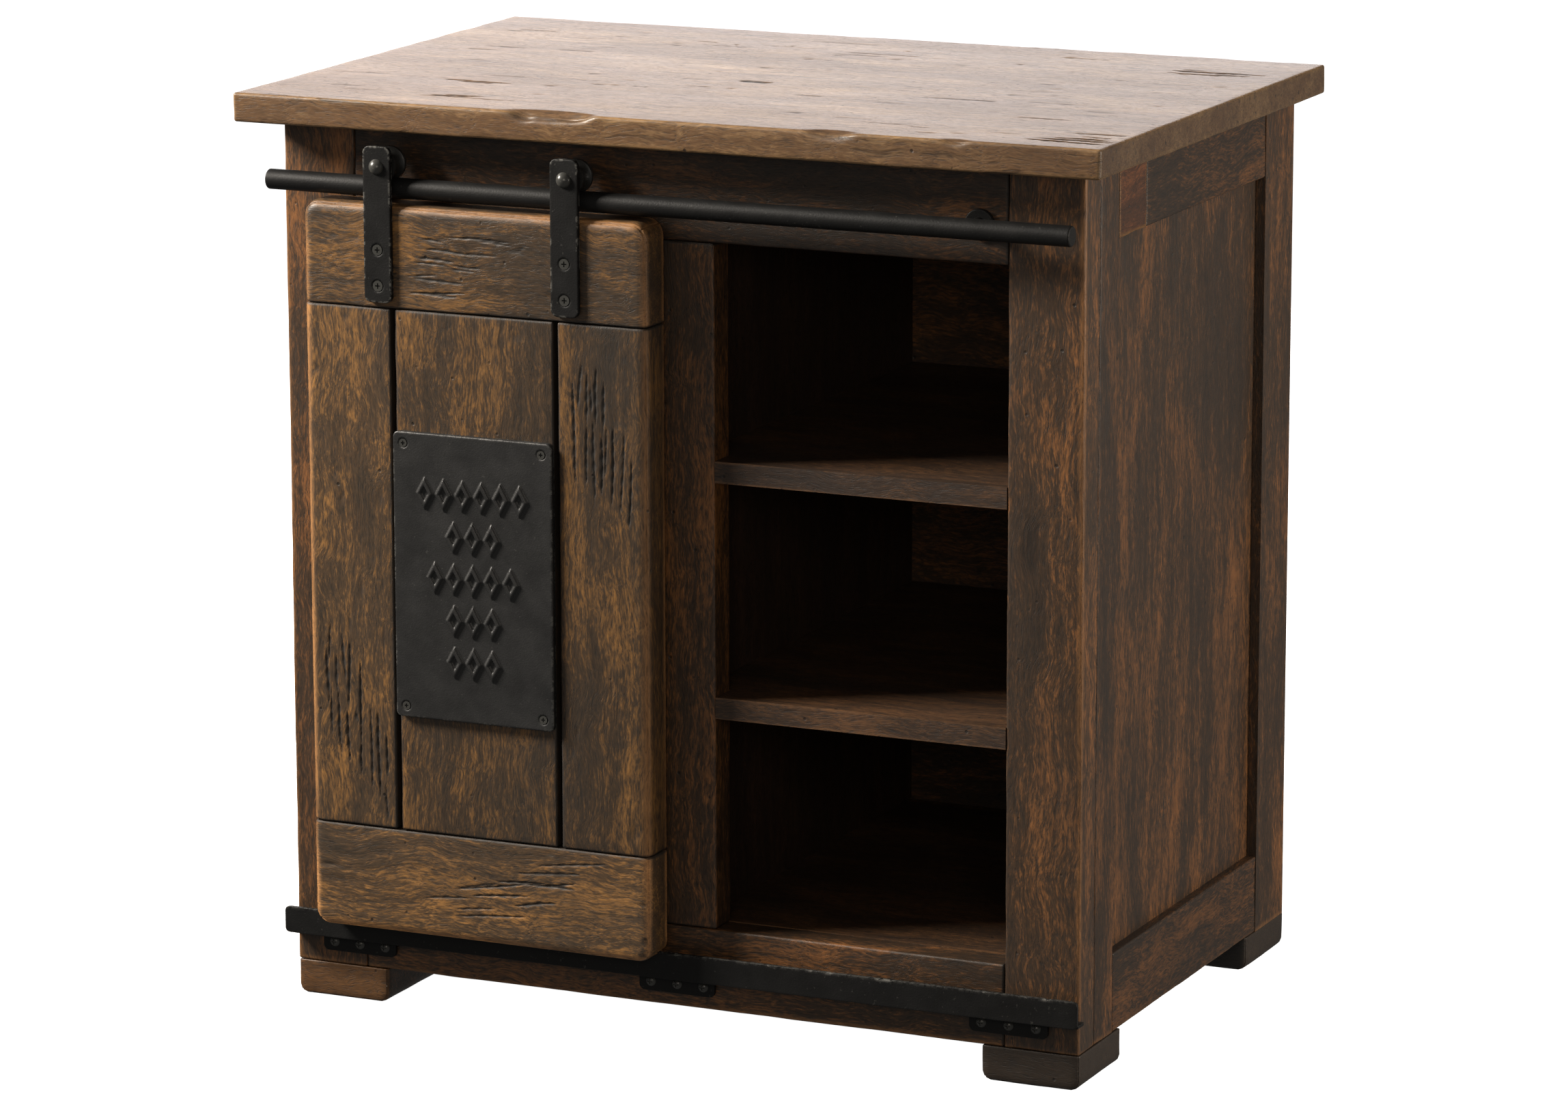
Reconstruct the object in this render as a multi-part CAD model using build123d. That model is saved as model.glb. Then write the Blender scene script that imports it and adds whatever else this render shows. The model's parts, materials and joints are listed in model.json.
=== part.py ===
"""Rustic wooden sideboard with one sliding door, built from its separate pieces.

Frame: +X to the right as seen from the front, +Y to the back, +Z up.
Origin: on the floor, under the middle of the whole piece. Units: millimetres.
"""
import math
import os

from build123d import *

# ---------------------------------------------------------------- driving sizes
# body and top
overall_height = 780.0
body_width = 718.0
body_depth = 480.0
slab_thickness = 25.0
slab_side_overhang = 27.0
slab_front_overhang = 38.0
slab_edge_round = 2.5

# feet
foot_height = 30.0
foot_width = 86.0
foot_depth = 92.0
foot_bottom_round = 6.0
foot_corner_round = 2.5

# frame members
post_width = 66.0
front_post_depth = 74.0
back_post_depth = 70.0
post_corner_round = 2.5
front_rail_thickness = 30.0
front_top_rail_height = 79.0
front_bottom_rail_height = 70.0
side_rail_thickness = 26.0
side_top_rail_height = 64.0
side_bottom_rail_height = 68.0
tenon_length = 12.0
tenon_thickness = 10.0
tenon_shoulder = 8.0
divider_width = 70.0
divider_tenon_width = 40.0

# panels and shelves
side_panel_thickness = 12.0
side_panel_recess = 8.5
side_panel_tongue = 7.0
back_panel_thickness = 10.0
back_panel_lap = 12.0
partition_thickness = 18.0
floor_thickness = 18.0
shelf_thickness = 18.0
shelves_per_side = 2
shelf_dado_depth = 4.0
cleat_size = 15.0
board_clearance = 0.3
corner_block_leg = 45.0
corner_block_height = 20.0

# wood patch let into the right side's top rail
patch_width = 59.0
patch_depth = 8.0

# door
door_overlap = 28.5
door_thickness = 35.0
door_gap = 5.0
door_top_gap = 4.0
door_top_board_height = 86.5
door_bottom_board_height = 91.0
side_plank_width = 81.0
plank_gap = 4.5
plank_tongue = 10.0
plank_tongue_thickness = 12.0
door_corner_round = 14.0
door_edge_round = 8.0
plank_bevel = 1.5
guide_groove_width = 7.0

# track rod and its standoffs
rod_diameter = 17.0
rod_end_inset = 0.5
rod_end_round = 1.5
rod_drop = 47.0
rod_behind_strap = 17.0
standoff_inset = 24.0
standoff_base_diameter = 25.0
standoff_base_thickness = 4.0
standoff_neck_diameter = 12.0
dowel_screw_diameter = 6.0
dowel_screw_in_rail = 20.0
dowel_screw_in_neck = 12.0

# straps, bolts, rollers
strap_inset = 72.0
strap_width = 25.0
strap_thickness = 4.0
strap_lap = 81.5
strap_above_axis = 17.0
strap_corner_round = 6.0
strap_screw_rises = (14.0, 44.0)
bolt_diameter = 8.0
bolt_head_diameter = 13.0
bolt_head_height = 5.0
bolt_hole_clearance = 0.1
bolt_tail = 1.5
roller_diameter = 28.0
roller_root_radius = 10.2
roller_width = 20.0
roller_bore_clearance = 0.05
roller_side_clearance = 0.3
rolling_gap = 0.3
spacer_diameter = 12.0
nut_across_flats = 13.0
nut_thickness = 6.5

# guide bar at the bottom
guide_end_reach = 4.0
guide_thickness = 3.0
guide_reach = 15.5
guide_rise = 27.0
guide_height = 23.0
guide_engagement = 5.0
guide_corner_round = 4.0
guide_groove_headroom = 3.0
tab_width = 69.0
tab_height = 15.0
tab_corner_round = 5.0
tab_inset = 61.0
tab_screw_spacing = 24.0
tab_screw_rise = 8.0

# cast plate on the door
plate_width = 146.0
plate_height_share = 0.5463
plate_below_middle = 0.5
plate_thickness = 5.5
plate_corner_round = 5.0
plate_edge_round = 1.2
plate_screw_inset = 9.5
relief_height = 2.4
relief_row_share = 0.1459
relief_width = 15.0
relief_fill = 0.67
relief_stroke = 4.0
relief_step = 17.5
relief_rows = (6, 3, 5, 3, 3)

# screws: head diameter, shank diameter, length under the head's face
strap_screw = (9.0, 4.5, 28.0)
plate_screw = (7.0, 3.5, 18.0)
guide_screw = (9.0, 4.0, 22.0)
foot_screw = (10.0, 5.0, 60.0)
block_screw = (8.0, 4.0, 34.0)
round_head_height = 2.6
foot_screw_counterbore = 8.0
recess_width = 1.1
recess_depth = 1.4
countersink_angle = 90.0

# ---------------------------------------------------------------- worked out places
front_reach = max(slab_front_overhang, door_gap + door_thickness + strap_thickness + bolt_head_height)
front_y = (front_reach - body_depth) / 2
back_y = front_y + body_depth
right_x = body_width / 2
left_x = -right_x
body_top_z = overall_height - slab_thickness
body_bottom_z = foot_height

inner_post_x = right_x - post_width
front_rail_back_y = front_y + front_rail_thickness
side_rail_inner_x = right_x - side_rail_thickness
back_rail_front_y = back_y - side_rail_thickness
back_panel_front_y = back_y - back_panel_thickness
front_post_back_y = front_y + front_post_depth
back_post_front_y = back_y - back_post_depth
panel_outer_x = right_x - side_panel_recess
panel_inner_x = panel_outer_x - side_panel_thickness

opening_bottom_z = body_bottom_z + front_bottom_rail_height
opening_top_z = body_top_z - front_top_rail_height
floor_top_z = opening_bottom_z
floor_bottom_z = floor_top_z - floor_thickness
opening_height = opening_top_z - opening_bottom_z
compartment_height = (opening_height - shelves_per_side * shelf_thickness) / (shelves_per_side + 1)
shelf_bottoms = [
    opening_bottom_z + compartment_height + level * (compartment_height + shelf_thickness)
    for level in range(shelves_per_side)
]
side_top_rail_bottom_z = body_top_z - side_top_rail_height
side_bottom_rail_top_z = body_bottom_z + side_bottom_rail_height

rod_radius = rod_diameter / 2
rod_centre_z = body_top_z - rod_drop
rod_length = body_width - 2 * rod_end_inset
roller_axis_z = rod_centre_z + rod_radius + rolling_gap + roller_root_radius

guide_length = body_width + 2 * guide_end_reach
guide_front_y = front_y - guide_reach
guide_bottom_z = body_bottom_z + guide_rise
guide_top_z = guide_bottom_z + guide_height
tab_bottom_z = guide_bottom_z - tab_height
tab_screw_z = tab_bottom_z + tab_screw_rise
tab_xs = [left_x + tab_inset, 0.0, right_x - tab_inset]

door_width = inner_post_x - divider_width / 2 + 2 * door_overlap
door_bottom_z = guide_top_z - guide_engagement
door_top_z = rod_centre_z - rod_radius - door_top_gap
door_back_y = front_y - door_gap
door_front_y = door_back_y - door_thickness
door_centre_x = -(divider_width / 2 + inner_post_x) / 2
door_travel = -2 * door_centre_x
door_left_x = door_centre_x - door_width / 2
door_right_x = door_centre_x + door_width / 2
door_bottom_joint_z = door_bottom_z + door_bottom_board_height
door_top_joint_z = door_top_z - door_top_board_height
door_plank_height = door_top_joint_z - door_bottom_joint_z
door_middle_y = (door_front_y + door_back_y) / 2

strap_xs = [door_left_x + strap_inset, door_right_x - strap_inset]
strap_front_y = door_front_y - strap_thickness
strap_bottom_z = door_top_z - strap_lap
strap_top_z = roller_axis_z + strap_above_axis
strap_screw_heights = [strap_bottom_z + rise for rise in strap_screw_rises]

rod_centre_y = strap_front_y + rod_behind_strap
roller_front_y = rod_centre_y - roller_width / 2
roller_back_y = rod_centre_y + roller_width / 2
standoff_xs = [standoff_inset - inner_post_x, inner_post_x - standoff_inset]

plate_height = door_plank_height * plate_height_share
plate_front_y = door_front_y - plate_thickness
plate_middle_z = (door_bottom_joint_z + door_top_joint_z) / 2 - plate_below_middle
relief_row_pitch = plate_height * relief_row_share
relief_height_z = relief_row_pitch * relief_fill

nodes = {}


# ---------------------------------------------------------------- small helpers
def block(x, y, z):
    """A rectangular piece between (low, high) limits along each axis."""
    sizes = [high - low for low, high in (x, y, z)]
    return Pos(x[0], y[0], z[0]) * Box(*sizes, align=(Align.MIN, Align.MIN, Align.MIN))


def mirrored(x, side):
    """The limits x as given for the right side, or mirrored for the left."""
    return x if side > 0 else (-x[1], -x[0])


def edges_along(shape, axis, at):
    """The straight edges parallel to an axis that pass near one of the given (u, v) places."""
    found = []
    for edge in shape.edges().filter_by(axis):
        middle = edge.center()
        place = {Axis.X: (middle.Y, middle.Z), Axis.Y: (middle.X, middle.Z), Axis.Z: (middle.X, middle.Y)}[axis]
        if any(abs(place[0] - u) < 0.01 and abs(place[1] - v) < 0.01 for u, v in at):
            found.append(edge)
    return found


def cross_recess(head_diameter):
    """Two crossing slots, cut into a screw head whose face is at z = 0."""
    length = head_diameter * 0.52
    slot = Pos(0, 0, -recess_depth / 2) * Box(length, recess_width, recess_depth)
    return slot + Rot(0, 0, 90) * slot


def countersunk(size):
    """A countersunk screw, face at z = 0, pointing down: (screw, plain body that its hole takes)."""
    head_diameter, shank_diameter, length = size
    sink = (head_diameter - shank_diameter) / 2 / math.tan(math.radians(countersink_angle / 2))
    rim = 0.4
    profile = Polyline(
        (0, 0), (head_diameter / 2, 0), (head_diameter / 2, -rim), (shank_diameter / 2, -rim - sink),
        (shank_diameter / 2, -length + shank_diameter), (0, -length), close=True,
    )
    plain = revolve(Plane.XZ * make_face(profile), Axis.Z)
    return plain - cross_recess(head_diameter), plain


def dome(diameter, height):
    """A spherical cap that stands on z = 0."""
    ball_radius = (diameter * diameter / 4 + height * height) / (2 * height)
    ball = Pos(0, 0, height - ball_radius) * Sphere(ball_radius)
    return ball & Cylinder(diameter, height, align=(Align.CENTER, Align.CENTER, Align.MIN))


def round_head(size):
    """A round-head screw, head's underside at z = 0, pointing down: (screw, plain body)."""
    head_diameter, shank_diameter, length = size
    shank = Polyline(
        (0, 0), (shank_diameter / 2, 0), (shank_diameter / 2, -length + shank_diameter), (0, -length), close=True
    )
    plain = dome(head_diameter, round_head_height) + revolve(Plane.XZ * make_face(shank), Axis.Z)
    return plain - Pos(0, 0, round_head_height) * cross_recess(head_diameter), plain


def facing_front(x, y, z):
    """The place of a screw whose head looks to the front."""
    return Location((x, y, z), (90, 0, 0))


def place_all(pair, places):
    """A (screw, plain) pair at each place: the screws, and the solids to cut from what they hold."""
    screw, plain = pair
    return [place * screw for place in places], [place * plain for place in places]


def cut(names, solids):
    """Cuts the solids out of the named nodes."""
    for name in names:
        for solid in solids:
            nodes[name] = nodes[name] - solid


def cylinder_y(diameter, x, z, y):
    """A round bar along Y, between the (low, high) limits y."""
    return Location((x, y[1], z), (90, 0, 0)) * Cylinder(
        diameter / 2, y[1] - y[0], align=(Align.CENTER, Align.CENTER, Align.MIN)
    )


# ---------------------------------------------------------------- cabinet
def make_top():
    """The slab that overhangs the body at the front and at both sides."""
    half = right_x + slab_side_overhang
    slab = block((-half, half), (front_y - slab_front_overhang, back_y), (body_top_z, overall_height))
    nodes["top_slab"] = fillet(slab.edges(), slab_edge_round)


def make_feet():
    """Four blocks under the corner posts, flush with the body's outside."""
    for end, low_y in (("front", front_y), ("back", back_y - foot_depth)):
        for side_name, side in (("left", -1), ("right", 1)):
            x = mirrored((right_x - foot_width, right_x), side)
            foot = block(x, (low_y, low_y + foot_depth), (0, foot_height))
            foot = fillet(foot.edges().filter_by(Axis.Z), foot_corner_round)
            foot = fillet(foot.faces().sort_by(Axis.Z)[0].edges(), foot_bottom_round)
            nodes[f"foot_{end}_{side_name}"] = foot


def make_posts():
    """Four corner posts that run from the feet to the slab."""
    spans = {"front": (front_y, front_post_back_y), "back": (back_post_front_y, back_y)}
    for end, y in spans.items():
        outer_y = front_y if end == "front" else back_y
        for side_name, side in (("left", -1), ("right", 1)):
            x = mirrored((inner_post_x, right_x), side)
            post = block(x, y, (body_bottom_z, body_top_z))
            corner = edges_along(post, Axis.Z, [(side * right_x, outer_y)])
            nodes[f"post_{end}_{side_name}"] = fillet(corner, post_corner_round)


def rail_with_tenons(x, y, z, along):
    """A rail between two posts, with a stub tenon at each end, and the tenons by themselves."""
    rail = block(x, y, z)
    z_tenon = (z[0] + tenon_shoulder, z[1] - tenon_shoulder)
    if along == "x":
        middle = (y[0] + y[1]) / 2
        y_tenon = (middle - tenon_thickness / 2, middle + tenon_thickness / 2)
        tenons = [block((low, low + tenon_length), y_tenon, z_tenon) for low in (x[0] - tenon_length, x[1])]
    else:
        middle = (x[0] + x[1]) / 2
        x_tenon = (middle - tenon_thickness / 2, middle + tenon_thickness / 2)
        tenons = [block(x_tenon, (low, low + tenon_length), z_tenon) for low in (y[0] - tenon_length, y[1])]
    return rail + tenons, tenons


def make_rails():
    """Front, back and side rails, tenoned into the posts."""
    inner = (-inner_post_x, inner_post_x)
    front = (front_y, front_rail_back_y)
    back = (back_rail_front_y, back_y)
    along_x = {
        "front_top_rail": (front, (opening_top_z, body_top_z)),
        "front_bottom_rail": (front, (body_bottom_z, opening_bottom_z)),
        "back_top_rail": (back, (side_top_rail_bottom_z, body_top_z)),
        "back_bottom_rail": (back, (body_bottom_z, side_bottom_rail_top_z)),
    }
    for name, (y, z) in along_x.items():
        nodes[name], tenons = rail_with_tenons(inner, y, z, "x")
        end = name.split("_")[0]
        cut([f"post_{end}_left", f"post_{end}_right"], tenons)

    between_posts = (front_post_back_y, back_post_front_y)
    heights = {"top": (side_top_rail_bottom_z, body_top_z), "bottom": (body_bottom_z, side_bottom_rail_top_z)}
    for side_name, side in (("left", -1), ("right", 1)):
        x = mirrored((side_rail_inner_x, right_x), side)
        for level, z in heights.items():
            name = f"side_{level}_rail_{side_name}"
            nodes[name], tenons = rail_with_tenons(x, between_posts, z, "y")
            cut([f"post_front_{side_name}", f"post_back_{side_name}"], tenons)


def make_side_panels():
    """A recessed panel in each side, its edges in grooves of the posts and rails."""
    for side_name, side in (("left", -1), ("right", 1)):
        x = mirrored((panel_inner_x, panel_outer_x), side)
        y = (front_post_back_y - side_panel_tongue, back_post_front_y + side_panel_tongue)
        z = (side_bottom_rail_top_z - side_panel_tongue, side_top_rail_bottom_z + side_panel_tongue)
        panel = block(x, y, z)
        nodes[f"side_panel_{side_name}"] = panel
        holders = [f"post_front_{side_name}", f"post_back_{side_name}"]
        holders += [f"side_{level}_rail_{side_name}" for level in ("top", "bottom")]
        cut(holders, [panel])


def make_back_panel():
    """A flat panel let into a rebate behind the back posts and rails, flush with their faces."""
    half = inner_post_x + back_panel_lap
    z = (side_bottom_rail_top_z - back_panel_lap, side_top_rail_bottom_z + back_panel_lap)
    panel = block((-half, half), (back_panel_front_y, back_y), z)
    nodes["back_panel"] = panel
    cut(["post_back_left", "post_back_right", "back_top_rail", "back_bottom_rail"], [panel])


def make_divider():
    """The centre post of the front frame, between the two front rails, with a tenon at each end."""
    half = divider_width / 2
    post = block((-half, half), (front_y, front_rail_back_y), (opening_bottom_z, opening_top_z))
    middle_y = (front_y + front_rail_back_y) / 2
    x = (-divider_tenon_width / 2, divider_tenon_width / 2)
    y = (middle_y - tenon_thickness / 2, middle_y + tenon_thickness / 2)
    tenons = [block(x, y, (low, low + tenon_length)) for low in (opening_bottom_z - tenon_length, opening_top_z)]
    nodes["divider_post"] = post + tenons
    cut(["front_bottom_rail"], tenons[:1])
    cut(["front_top_rail"], tenons[1:])


def make_inside():
    """Partition, floor and shelves, notched round the posts, with the cleats that carry them."""
    notch_depths = {"front": (front_y, front_post_back_y), "back": (back_post_front_y, back_y)}
    notches = []
    for y in notch_depths.values():
        for side in (-1, 1):
            x = mirrored((inner_post_x - board_clearance, right_x), side)
            y_cut = (y[0] - board_clearance, y[1] + board_clearance)
            notches.append(block(x, y_cut, (body_bottom_z, body_top_z)))

    half = partition_thickness / 2
    partition = block((-half, half), (front_rail_back_y, back_panel_front_y), (floor_top_z, body_top_z))
    back_rail_room = (back_rail_front_y - board_clearance, back_y)
    partition -= block((-half, half), back_rail_room, (side_top_rail_bottom_z - board_clearance, body_top_z))
    nodes["partition_panel"] = partition

    floor_half = side_rail_inner_x - board_clearance
    floor = block(
        (-floor_half, floor_half), (front_rail_back_y, back_rail_front_y), (floor_bottom_z, floor_top_z)
    )
    nodes["floor_panel"] = floor - notches
    cleat_z = (floor_bottom_z - cleat_size, floor_bottom_z)
    nodes["floor_cleats"] = Compound([
        block((-inner_post_x, inner_post_x), (front_rail_back_y, front_rail_back_y + cleat_size), cleat_z),
        block((-inner_post_x, inner_post_x), (back_rail_front_y - cleat_size, back_rail_front_y), cleat_z),
    ])

    cleats = []
    cleat_y = (front_post_back_y, back_post_front_y)
    for side_name, side in (("left", -1), ("right", 1)):
        for level, bottom in zip(("lower", "upper"), shelf_bottoms):
            z = (bottom, bottom + shelf_thickness)
            x = mirrored((half - shelf_dado_depth, panel_inner_x - board_clearance), side)
            shelf = block(x, (front_rail_back_y, back_panel_front_y), z) - notches
            lip_x = mirrored((divider_width / 2, inner_post_x), side)
            shelf = shelf + block(lip_x, (front_y, front_rail_back_y), z)
            nodes[f"shelf_{side_name}_{level}"] = shelf
            cut(["partition_panel"], [shelf])
            cleat_x = mirrored((panel_inner_x - cleat_size, panel_inner_x), side)
            cleats.append(block(cleat_x, cleat_y, (bottom - cleat_size, bottom)))
    nodes["shelf_cleats"] = Compound(cleats)


def make_corner_blocks():
    """Triangular blocks under the slab, between the side rails and posts, with a screw up into the slab."""
    blocks = []
    places = []
    z = body_top_z - corner_block_height
    for side in (-1, 1):
        for corner_y, way in ((front_post_back_y, 1), (back_post_front_y, -1)):
            corner_x = side * side_rail_inner_x
            outline = Polyline(
                (corner_x, corner_y), (corner_x - side * corner_block_leg, corner_y),
                (corner_x, corner_y + way * corner_block_leg), close=True,
            )
            blocks.append(extrude(Pos(0, 0, z) * make_face(outline), corner_block_height, dir=(0, 0, 1)))
            inset = corner_block_leg * 0.3
            places.append(Location((corner_x - side * inset, corner_y + way * inset, z), (180, 0, 0)))
    screws, holes = place_all(countersunk(block_screw), places)
    nodes["corner_blocks"] = Compound([solid for piece in blocks for solid in (piece - holes).solids()])
    cut(["top_slab"], holes)
    nodes["corner_screws"] = Compound(screws)


def make_foot_screws():
    """One long screw up through each foot into its post, its head in a counterbore."""
    screw, plain = countersunk(foot_screw)
    screws = []
    for end, y in (("front", front_y + front_post_depth / 2), ("back", back_y - back_post_depth / 2)):
        for side_name, side in (("left", -1), ("right", 1)):
            x = side * (right_x - post_width / 2)
            place = Location((x, y, foot_screw_counterbore), (180, 0, 0))
            screws.append(place * screw)
            mouth = Pos(x, y, 0) * Cylinder(
                foot_screw[0] / 2, foot_screw_counterbore, align=(Align.CENTER, Align.CENTER, Align.MIN)
            )
            cut([f"foot_{end}_{side_name}"], [place * plain, mouth])
            cut([f"post_{end}_{side_name}"], [place * plain])
    nodes["foot_screws"] = Compound(screws)


def make_side_patch():
    """A block of redder wood let into the front end of the right side's top rail, flush with it."""
    patch = block(
        (right_x - patch_depth, right_x),
        (front_post_back_y, front_post_back_y + patch_width),
        (side_top_rail_bottom_z, body_top_z),
    )
    nodes["side_patch_right"] = patch
    cut(["side_top_rail_right"], [patch])


# ---------------------------------------------------------------- track and guide
def make_track():
    """The round rod above the door and the two standoffs that hold it off the front top rail."""
    rod = Location((-rod_length / 2, rod_centre_y, rod_centre_z), (0, 90, 0)) * Cylinder(
        rod_radius, rod_length, align=(Align.CENTER, Align.CENTER, Align.MIN)
    )
    nodes["track_rod"] = fillet(rod.edges().filter_by(GeomType.CIRCLE), rod_end_round)
    base_front_y = front_y - standoff_base_thickness
    screws = []
    for side_name, x in zip(("left", "right"), standoff_xs):
        base = cylinder_y(standoff_base_diameter, x, rod_centre_z, (base_front_y, front_y))
        base = fillet(base.edges().sort_by(Axis.Y)[0], standoff_base_thickness * 0.3)
        neck = cylinder_y(standoff_neck_diameter, x, rod_centre_z, (rod_centre_y, base_front_y))
        screw = cylinder_y(
            dowel_screw_diameter, x, rod_centre_z, (front_y - dowel_screw_in_neck, front_y + dowel_screw_in_rail)
        )
        screws.append(screw)
        nodes[f"rod_standoff_{side_name}"] = base + neck - rod - screw
    cut(["front_top_rail"], screws)
    nodes["standoff_dowel_screws"] = Compound(screws)


def make_guide():
    """The angle-iron guide under the door: an upright flange on a flat one, carried by three screwed tabs."""
    half = guide_length / 2
    upright_y = (guide_front_y, guide_front_y + guide_thickness)
    upright = block((-half, half), upright_y, (guide_bottom_z, guide_top_z))
    corners = edges_along(upright, Axis.Y, [(-half, guide_top_z), (half, guide_top_z)])
    upright = fillet(corners, guide_corner_round)
    flat_z = (guide_bottom_z, guide_bottom_z + guide_thickness)
    nodes["guide_bar"] = upright + block((-half, half), (upright_y[1], front_y), flat_z)

    places = []
    for name, x in zip(("left", "middle", "right"), tab_xs):
        x_limits = (x - tab_width / 2, x + tab_width / 2)
        tab = block(x_limits, (front_y - guide_thickness, front_y), (tab_bottom_z, guide_bottom_z))
        low_corners = edges_along(tab, Axis.Y, [(limit, tab_bottom_z) for limit in x_limits])
        nodes[f"guide_tab_{name}"] = fillet(low_corners, tab_corner_round)
        for offset in (-tab_screw_spacing, 0, tab_screw_spacing):
            places.append(facing_front(x + offset, front_y - guide_thickness, tab_screw_z))
    screws, holes = place_all(round_head(guide_screw), places)
    per_tab = len(places) // len(tab_xs)
    for index, name in enumerate(("left", "middle", "right")):
        cut([f"guide_tab_{name}"], holes[index * per_tab:(index + 1) * per_tab])
    cut(["front_bottom_rail", "post_front_left", "post_front_right"], holes)
    nodes["guide_screws"] = Compound(screws)


# ---------------------------------------------------------------- door
def rounded_board(x, z, corner_z, outline_round):
    """A full-width door board whose outer edge at height corner_z has rounded corners and a soft front edge."""
    board = block(x, (door_front_y, door_back_y), z)
    corners = edges_along(board, Axis.Y, [(x[0], corner_z), (x[1], corner_z)])
    board = fillet(corners, outline_round)
    joint_z = z[0] if corner_z == z[1] else z[1]
    front_edges = [
        edge for edge in board.faces().sort_by(Axis.Y)[0].edges() if abs(edge.center().Z - joint_z) > 0.01
    ]
    return fillet(front_edges, door_edge_round)


def make_door_boards():
    """Top and bottom boards with three planks tongued between them."""
    x = (door_left_x, door_right_x)
    top = rounded_board(x, (door_top_joint_z, door_top_z), door_top_z, door_corner_round)
    bottom = rounded_board(x, (door_bottom_z, door_bottom_joint_z), door_bottom_z, door_corner_round)
    groove_room = (guide_groove_width - guide_thickness) / 2
    groove_y = (guide_front_y - groove_room, guide_front_y + guide_thickness + groove_room)
    bottom -= block(x, groove_y, (door_bottom_z, guide_top_z + guide_groove_headroom))

    first = door_left_x + side_plank_width
    second = door_right_x - side_plank_width
    plank_xs = {
        "left": (door_left_x, first),
        "middle": (first + plank_gap, second - plank_gap),
        "right": (second, door_right_x),
    }
    z = (door_bottom_joint_z, door_top_joint_z)
    half_tongue = plank_tongue_thickness / 2
    tongue_y = (door_middle_y - half_tongue, door_middle_y + half_tongue)
    for name, limits in plank_xs.items():
        plank = block(limits, (door_front_y, door_back_y), z)
        front = plank.faces().sort_by(Axis.Y)[0].edges()
        outer = [edge for edge in front if abs(edge.center().X - door_centre_x) > door_width / 2 - 0.01]
        if outer:
            plank = fillet(outer, door_edge_round)
        inner = {"left": [limits[1]], "middle": list(limits), "right": [limits[0]]}[name]
        plank = chamfer(edges_along(plank, Axis.Z, [(place, door_front_y) for place in inner]), plank_bevel)
        tenon_x = {
            "left": (limits[0] + door_edge_round, limits[1] - plank_tongue),
            "middle": limits,
            "right": (limits[0] + plank_tongue, limits[1] - door_edge_round),
        }[name]
        for low in (z[0] - plank_tongue, z[1]):
            plank += block(tenon_x, tongue_y, (low, low + plank_tongue))
        nodes[f"door_plank_{name}"] = plank
    for limits, holder in (((first, first + plank_gap), "left"), ((second - plank_gap, second), "right")):
        reach = (limits[0] - plank_tongue, limits[1]) if holder == "left" else (limits[0], limits[1] + plank_tongue)
        tongue = block(reach, tongue_y, z)
        nodes["door_plank_middle"] += tongue
        nodes[f"door_plank_{holder}"] -= tongue
    for name in plank_xs:
        top -= nodes[f"door_plank_{name}"]
        bottom -= nodes[f"door_plank_{name}"]
    nodes["door_top_board"] = top
    nodes["door_bottom_board"] = bottom


def make_straps():
    """Two hanger straps on the door's face, each with two countersunk screws and a domed bolt."""
    middle_z = (strap_bottom_z + strap_top_z) / 2
    outline = RectangleRounded(strap_width, strap_top_z - strap_bottom_z, strap_corner_round)
    hole_diameter = bolt_diameter + 2 * bolt_hole_clearance
    places = []
    for side_name, x in zip(("left", "right"), strap_xs):
        strap = extrude(Location((x, door_front_y, middle_z), (90, 0, 0)) * outline, strap_thickness)
        strap = chamfer(strap.faces().sort_by(Axis.Y)[0].edges(), 0.5)
        strap -= cylinder_y(hole_diameter, x, roller_axis_z, (strap_front_y, door_front_y))
        nodes[f"strap_{side_name}"] = strap
        places += [facing_front(x, strap_front_y, z) for z in strap_screw_heights]
    screws, holes = place_all(countersunk(strap_screw), places)
    cut(["strap_left", "strap_right", "door_top_board"], holes)
    nodes["strap_screws"] = Compound(screws)


def make_hangers():
    """Bolt, spacer, grooved roller and nut behind each strap."""
    tail_y = roller_back_y + roller_side_clearance + nut_thickness + bolt_tail
    nut_y = roller_back_y + roller_side_clearance
    bore = bolt_diameter + 2 * bolt_hole_clearance
    bolts = []
    nuts = []
    spacers = []
    for side_name, x in zip(("left", "right"), strap_xs):
        shank = cylinder_y(bolt_diameter, x, roller_axis_z, (strap_front_y, tail_y))
        head = facing_front(x, strap_front_y, roller_axis_z) * dome(bolt_head_diameter, bolt_head_height)
        bolts.append(head + shank)

        spacer_y = (door_front_y, roller_front_y - roller_side_clearance)
        spacer = cylinder_y(spacer_diameter, x, roller_axis_z, spacer_y)
        spacers.append(spacer - cylinder_y(bore, x, roller_axis_z, spacer_y))

        hexagon = RegularPolygon(nut_across_flats / 2, 6, major_radius=False)
        nut = extrude(Location((x, nut_y + nut_thickness, roller_axis_z), (90, 0, 0)) * hexagon, nut_thickness)
        nuts.append(nut - cylinder_y(bolt_diameter, x, roller_axis_z, (nut_y, nut_y + nut_thickness)))

        roller = cylinder_y(roller_diameter, x, roller_axis_z, (roller_front_y, roller_back_y))
        groove_round = Torus(roller_axis_z - rod_centre_z, rod_radius + rolling_gap)
        roller -= Location((x, rod_centre_y, roller_axis_z), (90, 0, 0)) * groove_round
        roller -= cylinder_y(
            bolt_diameter + 2 * roller_bore_clearance, x, roller_axis_z, (roller_front_y, roller_back_y)
        )
        nodes[f"roller_{side_name}"] = roller
    nodes["hanger_bolts"] = Compound(bolts)
    nodes["hanger_nuts"] = Compound(nuts)
    nodes["hanger_spacers"] = Compound(spacers)


def lozenge(width, height):
    """A diamond outline in the drawing plane."""
    corners = [(-width / 2, 0), (0, -height / 2), (width / 2, 0), (0, height / 2)]
    return make_face(Polyline(*corners, close=True))


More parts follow.
